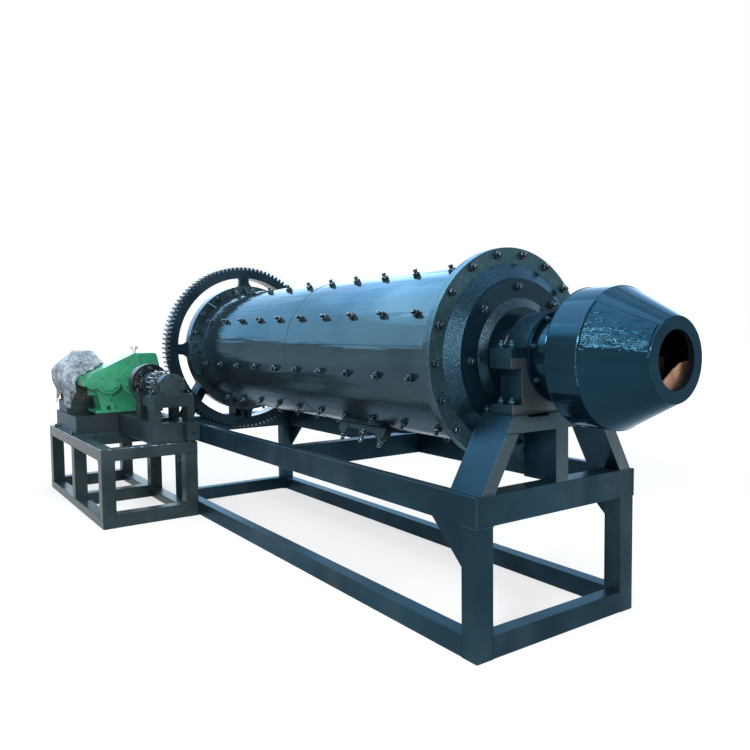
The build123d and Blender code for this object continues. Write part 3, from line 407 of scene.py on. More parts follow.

# Painted shadow: a thin near-black strip stands for the shadowed gap under each bearing.
pitch_black = Finish("painted_gap_shadow")
gap_shadow_skin = pitch_black.surface(
    Base_Color=(0.002, 0.002, 0.002, 1.0), Roughness=0.9, Specular_IOR_Level=0.0,
    Normal=pitch_black.bump(pitch_black.noise(300.0), 0.0004),
)
strip_size = (0.003, 0.13, 0.012)
strips = []
for end, out in (("feed", 1), ("gear", -1)):
    head_low, head_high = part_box(end + "_trestle_beam")
    face_x = head_high.x if out > 0 else head_low.x
    deselect()
    bpy.ops.mesh.primitive_cube_add(size=1.0, location=(face_x, axis_y - 0.16, head_high.z - 0.004))
    strip = bpy.context.object
    strip.scale = strip_size
    bpy.ops.object.transform_apply(location=False, rotation=False, scale=True)
    apply_modifier(strip, "BEVEL", width=0.0008, segments=1)
    strips.append(strip)
settle(join(strips), "painted_gap_shadow_strips", "root", gap_shadow_skin)

# Drum bearings
# Split plain bearings of cast iron: a base, a rounded cap, and two studs through the lugs on
# each side. Four more nuts hold the base down on the trestle.
cast_paint = enamel("cast_enamel", (0.012, 0.035, 0.053), 0.18, 120.0, 0.0009, 0.003)
coat(cast_paint, "feed_bearing_cap", "gear_bearing_cap")
base_front_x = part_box("feed_bearing_base")[1].x
# Past base_front_x the enamel paints strong light onto the bearing bases' faces towards the feed end.
base_paint = enamel("bearing_base_enamel", (0.011, 0.03, 0.044), 0.2, 120.0, 0.0009, 0.003, base_front_x, 0.5)
coat(base_paint, "feed_bearing_base", "gear_bearing_base")


def worn_paint():
    """Painted nuts and studs, with bare metal where a spanner has turned them."""
    paint = Finish("worn_fastener")
    worn = paint.band(paint.noise(95.0, 3.0), 0.57, 0.66)
    return paint.surface(
        Base_Color=paint.mix(worn, (0.012, 0.032, 0.045, 1.0), (0.22, 0.25, 0.27, 1.0)),
        Metallic=0.5 + worn * 0.4,
        Roughness=0.18 + worn * 0.16,
        Specular_IOR_Level=0.3,
        Normal=paint.bump(paint.noise(400.0), 0.0004),
    )


def stud_and_nut(across, nut_height, stud_radius, stud_length):
    """A washer, a chamfered nut and the stud's end, standing on the origin with its axis up."""
    washer_height = nut_height / 5
    nut_top = washer_height + nut_height
    deselect()
    bpy.ops.mesh.primitive_cylinder_add(
        vertices=18, radius=across * 0.62, depth=washer_height, location=(0, 0, washer_height / 2))
    washer = bpy.context.object
    deselect()
    bpy.ops.mesh.primitive_cylinder_add(
        vertices=6, radius=across / sqrt(3), depth=nut_height, location=(0, 0, nut_top - nut_height / 2))
    nut = bpy.context.object
    apply_modifier(nut, "BEVEL", width=across * 0.05, segments=1)
    deselect()
    bpy.ops.mesh.primitive_cylinder_add(
        vertices=12, radius=stud_radius, depth=stud_length, location=(0, 0, nut_top + stud_length / 2))
    stud = bpy.context.object
    apply_modifier(stud, "BEVEL", width=stud_radius * 0.3, segments=1, limit_method="ANGLE")
    return join([washer, nut, stud])


def standing(point, direction, spin=0.0):
    """The place of a fastener that stands on a point and faces out along a direction."""
    turn = Vector(direction).to_track_quat("Z", "Y").to_matrix().to_4x4()
    return Matrix.Translation(point) @ turn @ Matrix.Rotation(spin, 4, "Z")


def ring(x, radius, first, count, out, y=axis_y, z=axis_z):
    """Places round an axis along X, counted from +Y towards +Z, that face out along it."""
    places = []
    for i in range(count):
        angle = radians(first + i * 360.0 / count)
        point = (x, y + radius * cos(angle), z + radius * sin(angle))
        places.append(standing(point, (out, 0, 0), i * 0.7))
    return places


def fasten(name, pattern, places, body, material):
    """Copies a fastener to each place, and joins the copies to one piece."""
    copies = []
    for place in places:
        copy = pattern.copy()
        copy.data = pattern.data.copy()
        bpy.context.collection.objects.link(copy)
        copy.matrix_world = place
        copies.append(copy)
    bpy.data.objects.remove(pattern)
    return settle(join(copies), name, body, material)


fastener_skin = worn_paint()
stud_inset = 0.035
stud_offset = 0.262
lug_top = axis_z + 0.046
foot_thickness = 0.044
cap_places = []
base_places = []
for end in ("feed", "gear"):
    cap_low, cap_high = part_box(end + "_bearing_cap")
    foot_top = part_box(end + "_bearing_base")[0].z + foot_thickness
    for side in (-1, 1):
        for x in (cap_low.x + stud_inset, cap_high.x - stud_inset):
            y = axis_y + side * stud_offset
            cap_places.append(standing((x, y, lug_top), (0, 0, 1), x * 9))
            base_places.append(standing((x, y, foot_top), (0, 0, 1), x * 5))
painted_nut = enamel("painted_fastener", (0.018, 0.048, 0.07), 0.22, 300.0, 0.0004, 0.0)
fasten("cap_nuts", stud_and_nut(0.032, 0.018, 0.01, 0.014), cap_places, "root", painted_nut)
fasten("base_nuts", stud_and_nut(0.032, 0.018, 0.01, 0.012), base_places, "root", painted_nut)

# Drum shell
# Rolled steel plate in two courses, welded round the middle and along one side. Bolts come
# through it in rows from the wear liners inside, each with a washer and a nut.
shell_paint = Finish("shell_enamel")
cloud = shell_paint.noise(1.9, 3.0)
rolled = shell_paint.noise(2.4, 2.0, shell_paint.stretched(0.5, 2.6, 2.6))
streaks = shell_paint.noise(6.0, 3.0, shell_paint.stretched(0.18, 3.0, 3.0))
specks = shell_paint.band(shell_paint.noise(300.0, 2.0), 0.66, 0.74)
dust = specks * shell_paint.band(shell_paint.noise(7.0), 0.42, 0.6)
shaded = shell_paint.band(cloud, 0.35, 0.65)
tone = shell_paint.mix(shaded, (0.029, 0.056, 0.07, 1.0), (0.043, 0.074, 0.09, 1.0))
# Painted reflection: the drum's lower half is greyer and rougher, standing for the ground reflected in it.
painted_ground_reflection = shell_paint.band(axis_z - shell_paint.along("Z"), -0.02, 0.3)
tone = shell_paint.mix(painted_ground_reflection * 0.5, tone, (0.046, 0.056, 0.058, 1.0))
waves = shell_paint.bump(rolled + streaks * 0.35, 0.009)
shell_steel = shell_paint.surface(
    Base_Color=shell_paint.mix(dust * 0.3, tone, (0.2, 0.22, 0.23, 1.0)),
    Metallic=0.6,
    Roughness=0.05 + cloud * 0.05 + dust * 0.3 + painted_ground_reflection * 0.13,
    Specular_IOR_Level=0.1,
    Specular_Tint=(0.4, 0.54, 0.68, 1.0),
    Normal=shell_paint.bump(shell_paint.noise(160.0, 2.0), 0.00015, waves),
)
coat(shell_steel, "drum_shell")
shell_radius = 0.46
flange_thickness = 0.0255


def radial(x, angle, radius, spin=0.0):
    """A place on the drum at an angle counted from +Y towards +Z, facing straight out."""
    out = Vector((0.0, cos(radians(angle)), sin(radians(angle))))
    return standing(Vector((x, axis_y, axis_z)) + out * radius, out, spin)


def hoop(x, radius, thickness, y=axis_y, z=axis_z):
    """A round bead about an axis along X."""
    deselect()
    bpy.ops.mesh.primitive_torus_add(
        major_radius=radius, minor_radius=thickness / 2, major_segments=120, minor_segments=6,
        location=(x, y, z), rotation=(0.0, pi / 2, 0.0),
    )
    return bpy.context.object


cover_low, cover_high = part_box("manhole_cover")
cover_margin = 0.05
first_row = 0.232
row_pitch = 0.2899
liner_places = []
for row in range(10):
    x = shell_low.x + first_row + row * row_pitch
    for angle in range(33, 393, 40):
        covered = angle == 273 and cover_low.x - cover_margin < x < cover_high.x + cover_margin
        if not covered:
            liner_places.append(radial(x, angle, shell_radius, row * 1.3 + angle))
fasten("liner_nuts", stud_and_nut(0.038, 0.018, 0.012, 0.02), liner_places, "drum", fastener_skin)

seam_x = shell_low.x + 1.55
seam = radial(0.0, 173.0, shell_radius).translation
side_seam = beads([((seam_x, seam.y, seam.z), (shell_high.x - 0.04, seam.y, seam.z))], 0.007)
round_seam = hoop(seam_x, shell_radius - 0.001, 0.006)
settle(join([round_seam, side_seam]), "shell_welds", "drum", shell_steel)

bare_steel = Finish("bare_steel")
scratched = bare_steel.noise(60.0, 4.0, bare_steel.stretched(1.0, 14.0, 14.0))
rubbed = bare_steel.band(scratched, 0.4, 0.6)
bright_steel = bare_steel.surface(
    Base_Color=bare_steel.mix(rubbed, (0.5, 0.5, 0.48, 1.0), (0.68, 0.68, 0.66, 1.0)),
    Metallic=0.9,
    Roughness=0.22 + scratched * 0.2,
    Normal=bare_steel.bump(scratched, 0.0003),
)
rim_radius = 0.5305
# Rings of worn paint along the flange rim's two edges, bare in patches: partly wear, partly painted highlight
# lines.
rim_edges = [hoop(x, rim_radius, 0.002) for x in (shell_high.x + flange_thickness, shell_high.x)]
settle(join(rim_edges), "worn_rim_edge_highlights", "drum", fastener_skin)

# Drum heads and trunnions
# Cast ends bolted to the shell's flanges. Each rises by a rough conical band, left as cast under
# its paint, to a turned disc that carries the hollow trunnion; the journal runs bare and bright.
head_paint = Finish("cast_head")
head_radius = head_paint.radius_from(axis_y, axis_z)
cone = head_paint.band(head_radius, 0.374, 0.384) - head_paint.band(head_radius, 0.446, 0.454)
rim = head_paint.band(head_radius, 0.448, 0.456)
sand = head_paint.noise(105.0, 4.0)
glints = head_paint.band(head_paint.noise(330.0, 3.0), 0.6, 0.68)
tone = head_paint.mix(rim, (0.008, 0.028, 0.046, 1.0), (0.03, 0.072, 0.092, 1.0))
blotches = head_paint.band(head_paint.noise(26.0, 3.0), 0.5, 0.66)
tone = head_paint.mix(blotches * rim, tone, (0.046, 0.088, 0.104, 1.0))
cast_head = head_paint.surface(
    Base_Color=head_paint.mix(glints * cone * 0.5, tone, (0.2, 0.28, 0.34, 1.0)),
    Metallic=0.6,
    Roughness=0.13 + rim * 0.16,
    Specular_IOR_Level=0.15,
    Specular_Tint=edge_tint,
    Normal=head_paint.bump(sand * (0.05 + cone), 0.0016),
)
coat(cast_head, "feed_head", "gear_head")

trunnion_paint = Finish("turned_trunnion")
turned_radius = trunnion_paint.radius_from(axis_y, axis_z)
journal = 1.0 - trunnion_paint.band(turned_radius, 0.141, 0.144)
hub = trunnion_paint.band(turned_radius, 0.232, 0.24) - trunnion_paint.band(turned_radius, 0.279, 0.286)
turning = trunnion_paint.noise(7.0, 4.0, trunnion_paint.stretched(30.0, 1.0, 1.0))
hub_sand = trunnion_paint.noise(140.0, 4.0)
hub_glints = trunnion_paint.band(trunnion_paint.noise(300.0, 3.0), 0.58, 0.66) * hub
tone = trunnion_paint.mix(hub_glints * 0.5, (0.008, 0.028, 0.045, 1.0), (0.2, 0.28, 0.33, 1.0))
oiled = trunnion_paint.band(trunnion_paint.noise(18.0, 3.0), 0.5, 0.66)
bright = trunnion_paint.mix(oiled, (0.62, 0.62, 0.6, 1.0), (0.36, 0.35, 0.33, 1.0))
turned_trunnion = trunnion_paint.surface(
    Base_Color=trunnion_paint.mix(journal, tone, bright),
    Metallic=0.6 + journal * 0.35,
    Roughness=0.16 + journal * 0.12 + turning * 0.08,
    Specular_IOR_Level=0.15,
    Normal=trunnion_paint.bump(hub_sand * (hub + 0.06), 0.0012),
)
coat(turned_trunnion, "feed_trunnion", "gear_trunnion")

gear_head_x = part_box("gear_head")[0].x
feed_circle = 0.5
gear_circle = 0.49
flange_places = ring(shell_high.x + 0.026, feed_circle, 2.5, 18, 1)
flange_places += ring(shell_low.x + 0.025, gear_circle, 4.0, 18, 1)
flange_places += ring(shell_high.x - 0.025, feed_circle, 2.5, 18, -1)
flange_places += ring(gear_head_x + 0.04, gear_circle, 4.0, 18, -1)
flange_nut = stud_and_nut(0.036, 0.018, 0.011, 0.016)
fasten("flange_nuts", flange_nut, flange_places, "drum", fastener_skin)
disc_circle = 0.335
disc_places = ring(shell_high.x + 0.078, disc_circle, 48.0, 8, 1)
disc_places += ring(gear_head_x - 0.012, disc_circle, 48.0, 8, -1)
fasten("disc_nuts", stud_and_nut(0.034, 0.018, 0.011, 0.014), disc_places, "drum", fastener_skin)

# Manhole
# A curved cover plate under the shell, pressed on by a bar with one large centre screw and held
# at each end of the bar by a stud through its lug.
manhole_paint = enamel("manhole_enamel", (0.017, 0.028, 0.032), 0.36, 140.0, 0.0008, 0.001)
coat(manhole_paint, "manhole_cover", "manhole_bridge")
cover_x = (cover_low.x + cover_high.x) / 2
bridge_angle = 246.0
lug_offset = 0.195
centre_screw = [radial(cover_x, bridge_angle, shell_radius + 0.0503)]
fasten("cover_screw", stud_and_nut(0.046, 0.026, 0.014, 0.05), centre_screw, "drum", fastener_skin)
lug_places = [
    radial(cover_x + side * lug_offset, bridge_angle, shell_radius + 0.082) for side in (-1, 1)
]
fasten("bridge_nuts", stud_and_nut(0.036, 0.022, 0.012, 0.026), lug_places, "drum", fastener_skin)

# Girth gear
# A cast toothed ring on T-shaped arms, clamped between the gear head and the shell's flange. The
# arms are painted; the teeth are bare under black grease and worn bright along their flanks.
gear_paint = Finish("cast_gear")
gear_radius = gear_paint.radius_from(axis_y, axis_z)
toothed = gear_paint.band(gear_radius, 0.744, 0.75)
greased = gear_paint.band(gear_paint.noise(34.0, 3.0), 0.36, 0.56)
rough_iron = gear_paint.noise(110.0, 3.0)
bare = gear_paint.mix(greased, (0.2, 0.2, 0.19, 1.0), (0.018, 0.017, 0.016, 1.0))
faded = gear_paint.band(gear_paint.noise(4.0), 0.35, 0.65)
shade = gear_paint.mix(faded, (0.007, 0.02, 0.032, 1.0), (0.014, 0.034, 0.05, 1.0))
cast_gear = gear_paint.surface(
    Base_Color=gear_paint.mix(toothed, shade, bare),
    Metallic=0.6 + toothed * (0.3 - greased * 0.5),
    Roughness=0.22 + toothed * 0.1,
    Specular_IOR_Level=0.15,
    Normal=gear_paint.bump(rough_iron, 0.0012),
)
coat(cast_gear, "girth_gear")
arm_half = 0.014
arm_lines = []
centre = Vector((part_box("girth_gear")[0].x + 0.075, axis_y, axis_z))
for angle in range(0, 360, 90):
    turn = Matrix.Rotation(radians(angle), 3, "X")
    for side in (-1, 1):
        foot = turn @ Vector((0.0, side * arm_half, 0.53))
        top = turn @ Vector((0.0, side * arm_half, 0.588))
        arm_lines.append((centre + foot, centre + top))
settle(beads(arm_lines, 0.008), "gear_arm_fillets", "drum", weld_bead)

# Drum feeder
# A welded barrel and cone of plate bolted to the feed trunnion by a ring. The cone's side seam is
# a wide rough patch, its corner seams are crusted with weld, and a rusty scoop stands inside.
feeder_low, feeder_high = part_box("feeder_drum")
cone_x = feeder_high.x - 0.248
barrel_x = cone_x - 0.162
feeder_paint = Finish("feeder_enamel")
feeder_radius = feeder_paint.radius_from(axis_y, axis_z)
above = feeder_paint.along("Z") - axis_z
near = axis_y - feeder_paint.along("Y")
feeder_x = feeder_paint.along("X")
on_cone = feeder_paint.band(feeder_x, cone_x + 0.004, cone_x + 0.01) * (
    1.0 - feeder_paint.band(feeder_x, feeder_high.x - 0.012, feeder_high.x - 0.004))
below_seam = feeder_paint.band(near - above * 0.78, 0.0, 0.006)
patch = below_seam * feeder_paint.band(above - near * 0.12, -0.02, 0.03) * on_cone
wrinkles = feeder_paint.noise(11.0, 5.0, feeder_paint.stretched(0.7, 1.5, 3.2))
barrel_radius = 0.308
cone_slope = 0.5323
narrowing = (feeder_x - cone_x) * cone_slope
skin_radius = barrel_radius - narrowing.math("MAXIMUM", narrowing, 0.0)
under_skin = feeder_paint.band(skin_radius - feeder_radius, 0.004, 0.006)
past_ring = feeder_paint.band(feeder_x, barrel_x + 0.002, barrel_x + 0.004)
mouth_face = feeder_paint.band(feeder_radius, 0.1225, 0.1228) * feeder_paint.band(
    feeder_x, feeder_high.x - 0.002, feeder_high.x - 0.001)
# Painted shade: the feeder's inside, past its ring, is near black and matt.
inside = under_skin * past_ring * (1.0 - mouth_face)
cloud = feeder_paint.noise(2.6, 3.0)
shaded = feeder_paint.band(cloud, 0.35, 0.65)
tone = feeder_paint.mix(shaded, (0.0045, 0.021, 0.036, 1.0), (0.008, 0.029, 0.048, 1.0))
waves = feeder_paint.bump(feeder_paint.noise(3.0, 1.0), 0.005)
feeder_enamel = feeder_paint.surface(
    Base_Color=feeder_paint.mix(inside, tone, (0.004, 0.004, 0.005, 1.0)),
    Metallic=0.65 - inside * 0.6,
    Roughness=0.08 + cloud * 0.06 + inside * 0.6,
    Specular_IOR_Level=0.1,
    Specular_Tint=edge_tint,
    Normal=feeder_paint.bump(wrinkles * patch + patch * 0.12, 0.011, waves),
)
coat(feeder_enamel, "feeder_drum")


def crust(x, radius, width, first, last, step):
    """Lumps of weld in a row round the drum axis, as one piece."""
    lumps = []
    angle = first
    while angle < last:
        place = radial(x, angle, radius).translation
        swell = 1.0 + 0.5 * noise.noise(Vector((angle * 0.7, x * 9.0, 0.0)))
        deselect()
        bpy.ops.mesh.primitive_ico_sphere_add(subdivisions=1, radius=width * swell / 2, location=place)
        lumps.append(bpy.context.object)
        angle += step
    return join(lumps)


bead_radius = 0.3075
mouth_radius = 0.1755
seam_crust = [
    crust(cone_x, 0.307, 0.008, 146.0, 200.0, 1.7),
    crust(feeder_high.x - 0.002, mouth_radius, 0.005, 140.0, 200.0, 2.2),
]
settle(join(seam_crust), "feeder_seam_crust", "drum", weld_bead)
feeder_beads = [
    hoop(barrel_x, bead_radius, 0.005),
    hoop(cone_x, bead_radius, 0.004),
    hoop(barrel_x - 0.001, 0.192, 0.009),
    hoop(feeder_high.x - 0.0005, mouth_radius, 0.003),
]
settle(join(feeder_beads), "feeder_welds", "drum", feeder_enamel)
ring_places = ring(feeder_low.x + 0.018, 0.199, 30.0, 8, 1)
fasten("feeder_ring_nuts", stud_and_nut(0.024, 0.014, 0.007, 0.008), ring_places, "drum", painted_nut)

scoop_rust = Finish("rusty_plate")
patches = scoop_rust.band(scoop_rust.noise(16.0, 4.0), 0.35, 0.65)
rusty_plate = scoop_rust.surface(
    Base_Color=scoop_rust.mix(patches, (0.26, 0.14, 0.095, 1.0), (0.42, 0.25, 0.18, 1.0)),
    Roughness=0.85,
    Normal=scoop_rust.bump(scoop_rust.noise(160.0, 3.0), 0.0012),
)
coat(rusty_plate, "feeder_scoop")

lip_x = feeder_high.x - 0.068
lip_radius = barrel_radius - 0.01 - (lip_x - cone_x) * cone_slope
deselect()
bpy.ops.mesh.primitive_circle_add(
    vertices=72, radius=lip_radius, fill_type="NGON",
    location=(lip_x, axis_y, axis_z), rotation=(0.0, pi / 2, 0.0),
)
lip = bpy.context.object
bpy.ops.object.mode_set(mode="EDIT")
for cut_y, cut_z, slope in ((0.011, -0.088, 0.68), (0.09, -0.038, 0.54), (0.158, -0.014, 0.12)):
    bpy.ops.mesh.select_all(action="SELECT")
    bpy.ops.mesh.bisect(
        plane_co=(lip_x, axis_y + cut_y, axis_z + cut_z), plane_no=(0.0, -slope, 1.0), clear_outer=True)
bpy.ops.object.mode_set(mode="OBJECT")
apply_modifier(lip, "SOLIDIFY", thickness=0.006, offset=0.0)
apply_modifier(lip, "BEVEL", width=0.0015, segments=2, limit_method="ANGLE")
lump_pitch = 0.0062
edge_slope = 0.68
edge_lumps = [lip]
for i in range(22):
    y = -0.05 + i * lump_pitch
    lump_size = 0.0036 * (1.0 + 0.7 * noise.noise(Vector((i * 1.7, 0.0, 0.0))))
    place = (lip_x + 0.002, axis_y + y, axis_z - 0.0955 + y * edge_slope)
    deselect()
    bpy.ops.mesh.primitive_ico_sphere_add(subdivisions=1, radius=lump_size, location=place)
    edge_lumps.append(bpy.context.object)
settle(join(edge_lumps), "mouth_lip", "drum", rusty_plate)

# Drive stand
# Square and rectangular tubes welded into a long table beside the gear end. Its top outer edges are
# bare and light in patches, partly wear and partly painted highlight, and a small hook hangs from the inner
# rail.
stand_paint = Finish("stand_enamel")
stand_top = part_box("stand_top_side_rails")[1].z
knocks = stand_paint.noise(38.0, 4.0)
post_low, post_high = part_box("stand_posts")
high_up = stand_paint.band(stand_paint.along("Z"), stand_top - 0.007, stand_top - 0.001)
chip_reach = 0.014
chip_full = 0.002
half_y = (post_high.y - post_low.y) / 2
half_x = (post_high.x - post_low.x) / 2
from_middle = (stand_paint.along("Y") - (post_low.y + post_high.y) / 2) ** 2.0
by_side = stand_paint.band(from_middle, (half_y - chip_reach) ** 2, (half_y - chip_full) ** 2)
from_middle = (stand_paint.along("X") - (post_low.x + post_high.x) / 2) ** 2.0
by_end = stand_paint.band(from_middle, (half_x - chip_reach) ** 2, (half_x - chip_full) ** 2)
# Light bare patches along the top outer edges: partly wear and partly painted highlight.
chips_and_edge_highlights = stand_paint.band(knocks, 0.5, 0.58) * high_up * (by_side + by_end - by_side * by_end)
cloud = stand_paint.noise(2.2, 3.0)
shaded = stand_paint.band(cloud, 0.35, 0.65)
tone = stand_paint.mix(shaded, (0.02, 0.037, 0.044, 1.0), (0.042, 0.063, 0.07, 1.0))
waves = stand_paint.bump(stand_paint.noise(3.0, 1.0), 0.003)
stand_enamel = stand_paint.surface(
    Base_Color=stand_paint.mix(chips_and_edge_highlights, tone, (0.36, 0.38, 0.38, 1.0)),
    Metallic=0.5 + chips_and_edge_highlights * 0.3,
    Roughness=0.26 + cloud * 0.14,
    Specular_IOR_Level=0.1,
    Normal=stand_paint.bump(stand_paint.noise(240.0, 3.0), 0.0004, waves),
)
coat(
    stand_enamel, "stand_posts", "stand_top_side_rails", "stand_side_runners", "stand_top_end_rails",
    "stand_bottom_end_rails",
)
rail_low, rail_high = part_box("stand_top_side_rails")
tube = 0.1
post_starts = (post_low.x, (post_low.x + post_high.x - tube) / 2, post_high.x - tube)
stand_lines = []
for start_x in post_starts:
    for x in (start_x, start_x + tube):
        for y, side in ((post_low.y, 1), (post_high.y, -1)):
            for z in (rail_low.z, post_low.z):
                stand_lines.append(((x, y, z), (x, y + side * tube, z)))
for start_x in post_starts:
    for y in (post_low.y, post_high.y):
        for z in (rail_low.z, post_low.z):
            stand_lines.append(((start_x, y, z), (start_x + tube, y, z)))
settle(beads(stand_lines, 0.008), "stand_welds", "root", weld_bead)

hook_x = rail_high.x + 0.004
hook_y = rail_high.y - 0.143
deselect()
bpy.ops.mesh.primitive_torus_add(
    major_radius=0.016, minor_radius=0.004, major_segments=20, minor_segments=8,
    location=(hook_x, hook_y, rail_low.z - 0.034), rotation=(0.0, pi / 2, 0.0),
)
eye = bpy.context.object
shank = beads([((hook_x, hook_y, rail_low.z - 0.02), (hook_x, hook_y, rail_low.z + 0.02))], 0.009)
settle(join([eye, shank]), "stand_hook", "root", fastener_skin)

# Sub-bases
# Channel frames that raise the drive to its height. The reducer and motor stand on the longer
# one, the pinion's two bearings on the shorter, both held down by bolts through the stand.
base_steel = enamel("subbase_enamel", (0.036, 0.053, 0.059), 0.32, 220.0, 0.0004, 0.002)
coat(base_steel, "motor_subbase", "bearing_subbase", "pinion_pedestals")
motor_base_low, motor_base_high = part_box("motor_subbase")
bearing_base_low, bearing_base_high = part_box("bearing_subbase")
base_lines = []
for x in (motor_base_low.x, motor_base_high.x):
    base_lines.append(((x, motor_base_low.y, stand_top), (x, motor_base_high.y, stand_top)))
for y in (motor_base_low.y, motor_base_high.y):
    base_lines.append(((motor_base_low.x, y, stand_top), (motor_base_high.x, y, stand_top)))
for y in (bearing_base_low.y, bearing_base_high.y):
    base_lines.append(((bearing_base_low.x, y, stand_top), (bearing_base_high.x - 0.1, y, stand_top)))
settle(beads(base_lines, 0.009), "subbase_welds", "root", weld_bead)
hold_down = []
for x in (motor_base_low.x + 0.06, motor_base_high.x - 0.06):
    hold_down.append(standing((x, motor_base_low.y - 0.022, stand_top), (0, 0, 1), x * 7))
fasten("hold_down_nuts", stud_and_nut(0.03, 0.016, 0.01, 0.014), hold_down, "root", fastener_skin)

# Pinion bearings
# Two split blocks on welded pedestals, each held by two studs through its foot and two through
# its cap, with a round cover screwed over the shaft's end.
block_low, block_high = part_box("pinion_bearings")
pedestal_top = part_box("pinion_pedestals")[1].z
pinion_low, pinion_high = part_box("pinion")
pinion_y = (pinion_low.y + pinion_high.y) / 2
pinion_z = (pinion_low.z + pinion_high.z) / 2
block_paint = enamel("block_enamel", (0.04, 0.062, 0.07), 0.34, 130.0, 0.0012, 0.003)
coat(block_paint, "pinion_bearings")
block_places = []
cover_places = []
block_half = 0.064
foot_offset = 0.148
cheek_offset = 0.112
front_x = block_high.x - block_half
rear_x = block_low.x + block_half
for x in (front_x, rear_x):
    for side in (-1, 1):
        foot = (x, pinion_y + side * foot_offset, pedestal_top + 0.024)
        cheek = (x, pinion_y + side * cheek_offset, pinion_z + 0.017)
        block_places += [standing(foot, (0, 0, 1), x * 3), standing(cheek, (0, 0, 1), x * 5)]
fasten("block_nuts", stud_and_nut(0.03, 0.017, 0.01, 0.016), block_places, "root", fastener_skin)
screw_circle = 0.081
for i in range(6):
    angle = radians(30 + i * 60)
    for face_x, out in ((block_high.x, 1), (block_low.x, -1)):
        y = pinion_y + screw_circle * cos(angle)
        z = pinion_z + screw_circle * sin(angle)
        if z > pedestal_top + 0.012:
            cover_places.append(standing((face_x, y, z), (out, 0, 0), i))
fasten("block_cover_screws", stud_and_nut(0.016, 0.008, 0.004, 0.003), cover_places, "root", fastener_skin)
nipple_places = [standing((x, pinion_y, pinion_z + 0.0915), (0, 0, 1)) for x in (front_x, rear_x)]
fasten("grease_nipples", stud_and_nut(0.012, 0.008, 0.004, 0.012), nipple_places, "root", bright_steel)

# Pinion line
# The pinion and its shaft run in the two blocks. A pin coupling of two black cast discs joins it
# to the reducer, with eight rubber-bushed pins, and bare shaft shows on both sides.
worn_teeth = Finish("worn_teeth")
smeared = worn_teeth.band(worn_teeth.noise(42.0, 3.0), 0.4, 0.58)
pinion_steel = worn_teeth.surface(
    Base_Color=worn_teeth.mix(smeared, (0.3, 0.3, 0.29, 1.0), (0.02, 0.018, 0.016, 1.0)),
    Metallic=0.85 - smeared * 0.7,
    Roughness=0.25 + smeared * 0.1,
    Normal=worn_teeth.bump(worn_teeth.noise(130.0, 3.0), 0.0008),
)
coat(pinion_steel, "pinion")
coat(bright_steel, "pinion_shaft", "reducer_output_shaft")
coupling_paint = Finish("cast_coupling")
cast_grain = coupling_paint.noise(130.0, 4.0)
brown = coupling_paint.band(coupling_paint.noise(20.0, 4.0), 0.46, 0.66)
black_casting = coupling_paint.surface(
    Base_Color=coupling_paint.mix(brown, (0.014, 0.016, 0.018, 1.0), (0.036, 0.032, 0.03, 1.0)),
    Metallic=0.4,
    Roughness=0.3 + brown * 0.2,
    Specular_IOR_Level=0.2,
    Normal=coupling_paint.bump(cast_grain, 0.0012),
)
coat(black_casting, "pinion_coupling", "reducer_coupling")
disc_low, disc_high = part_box("pinion_coupling")
far_face_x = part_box("reducer_coupling")[1].x - 0.048
disc_axis = ((disc_low.y + disc_high.y) / 2, (disc_low.z + disc_high.z) / 2)
pin_circle = 0.116
pin_places = ring(disc_high.x, pin_circle, 93.0, 8, 1, *disc_axis)
pin_places += ring(far_face_x, pin_circle, 93.0, 8, -1, *disc_axis)
pin_nut = stud_and_nut(0.042, 0.02, 0.012, 0.014)
fasten("coupling_pins", pin_nut, pin_places, "pinion_line", fastener_skin)

# Reducer
# A cast iron gear case in two halves, sprayed bright green and glossy. Bolts hold the halves
# together at the split, screws hold the bearing covers, and a bare breather stands on top.
green = Finish("green_enamel")
mottle = green.noise(2.4, 3.0)
orange_peel = green.noise(90.0, 3.0)
sandy = green.noise(24.0, 4.0)
dusty = green.band(green.noise(11.0, 4.0), 0.52, 0.74)
tone = green.mix(green.band(mottle, 0.35, 0.65), (0.016, 0.18, 0.09, 1.0), (0.045, 0.34, 0.18, 1.0))
green_enamel = green.surface(
    Base_Color=green.mix(dusty * 0.35, tone, (0.2, 0.42, 0.3, 1.0)),
    Roughness=0.16 + mottle * 0.12,
    Specular_IOR_Level=0.4,
    Normal=green.bump(orange_peel, 0.0006, green.bump(sandy, 0.002)),
)
coat(green_enamel, "reducer_lower_case", "reducer_upper_case", "reducer_bearing_covers")
coat(base_steel, "reducer_packing")
coat(bright_steel, "reducer_breather")
case_low, case_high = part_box("reducer_upper_case")
lower_low, lower_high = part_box("reducer_lower_case")
case_x = (case_low.x + case_high.x) / 2
flange_top = lower_high.z + 0.028
joint_offset = 0.144
foot_offset = 0.134
joint_places = []
for side in (-1, 1):
    for along_y in (0.172, -0.172, -0.378):
        place = (case_x + side * joint_offset, pinion_y + along_y, flange_top)
        joint_places.append(standing(place, (0, 0, 1), along_y * 9))
for side in (-0.08, 0.08):
    place = (case_x + side, case_low.y + 0.028, flange_top)
    joint_places.append(standing(place, (0, 0, 1), side * 5))
joint_bolt = stud_and_nut(0.032, 0.018, 0.01, 0.016)
fasten("split_bolts", joint_bolt, joint_places, "root", green_enamel)
cover_thickness = 0.01
screw_places = []
for along_y, radius, count in ((0.0, 0.1, 8), (-0.245, 0.07, 6)):
    y = pinion_y + along_y
    screw_places += ring(case_high.x + cover_thickness, radius, 22.5, count, 1, y, pinion_z)
    screw_places += ring(case_low.x - cover_thickness, radius, 22.5, count, -1, y, pinion_z)
cover_screw = stud_and_nut(0.019, 0.01, 0.005, 0.004)
fasten("cover_screws", cover_screw, screw_places, "root", green_enamel)
foot_places = []
for side in (-1, 1):
    for y in (lower_low.y + 0.2, pinion_y, lower_high.y - 0.05):
        place = (case_x + side * foot_offset, y, lower_low.z + 0.024)
        foot_places.append(standing(place, (0, 0, 1), y * 9))
fasten("foot_bolts", stud_and_nut(0.026, 0.016, 0.009, 0.014), foot_places, "root", fastener_skin)

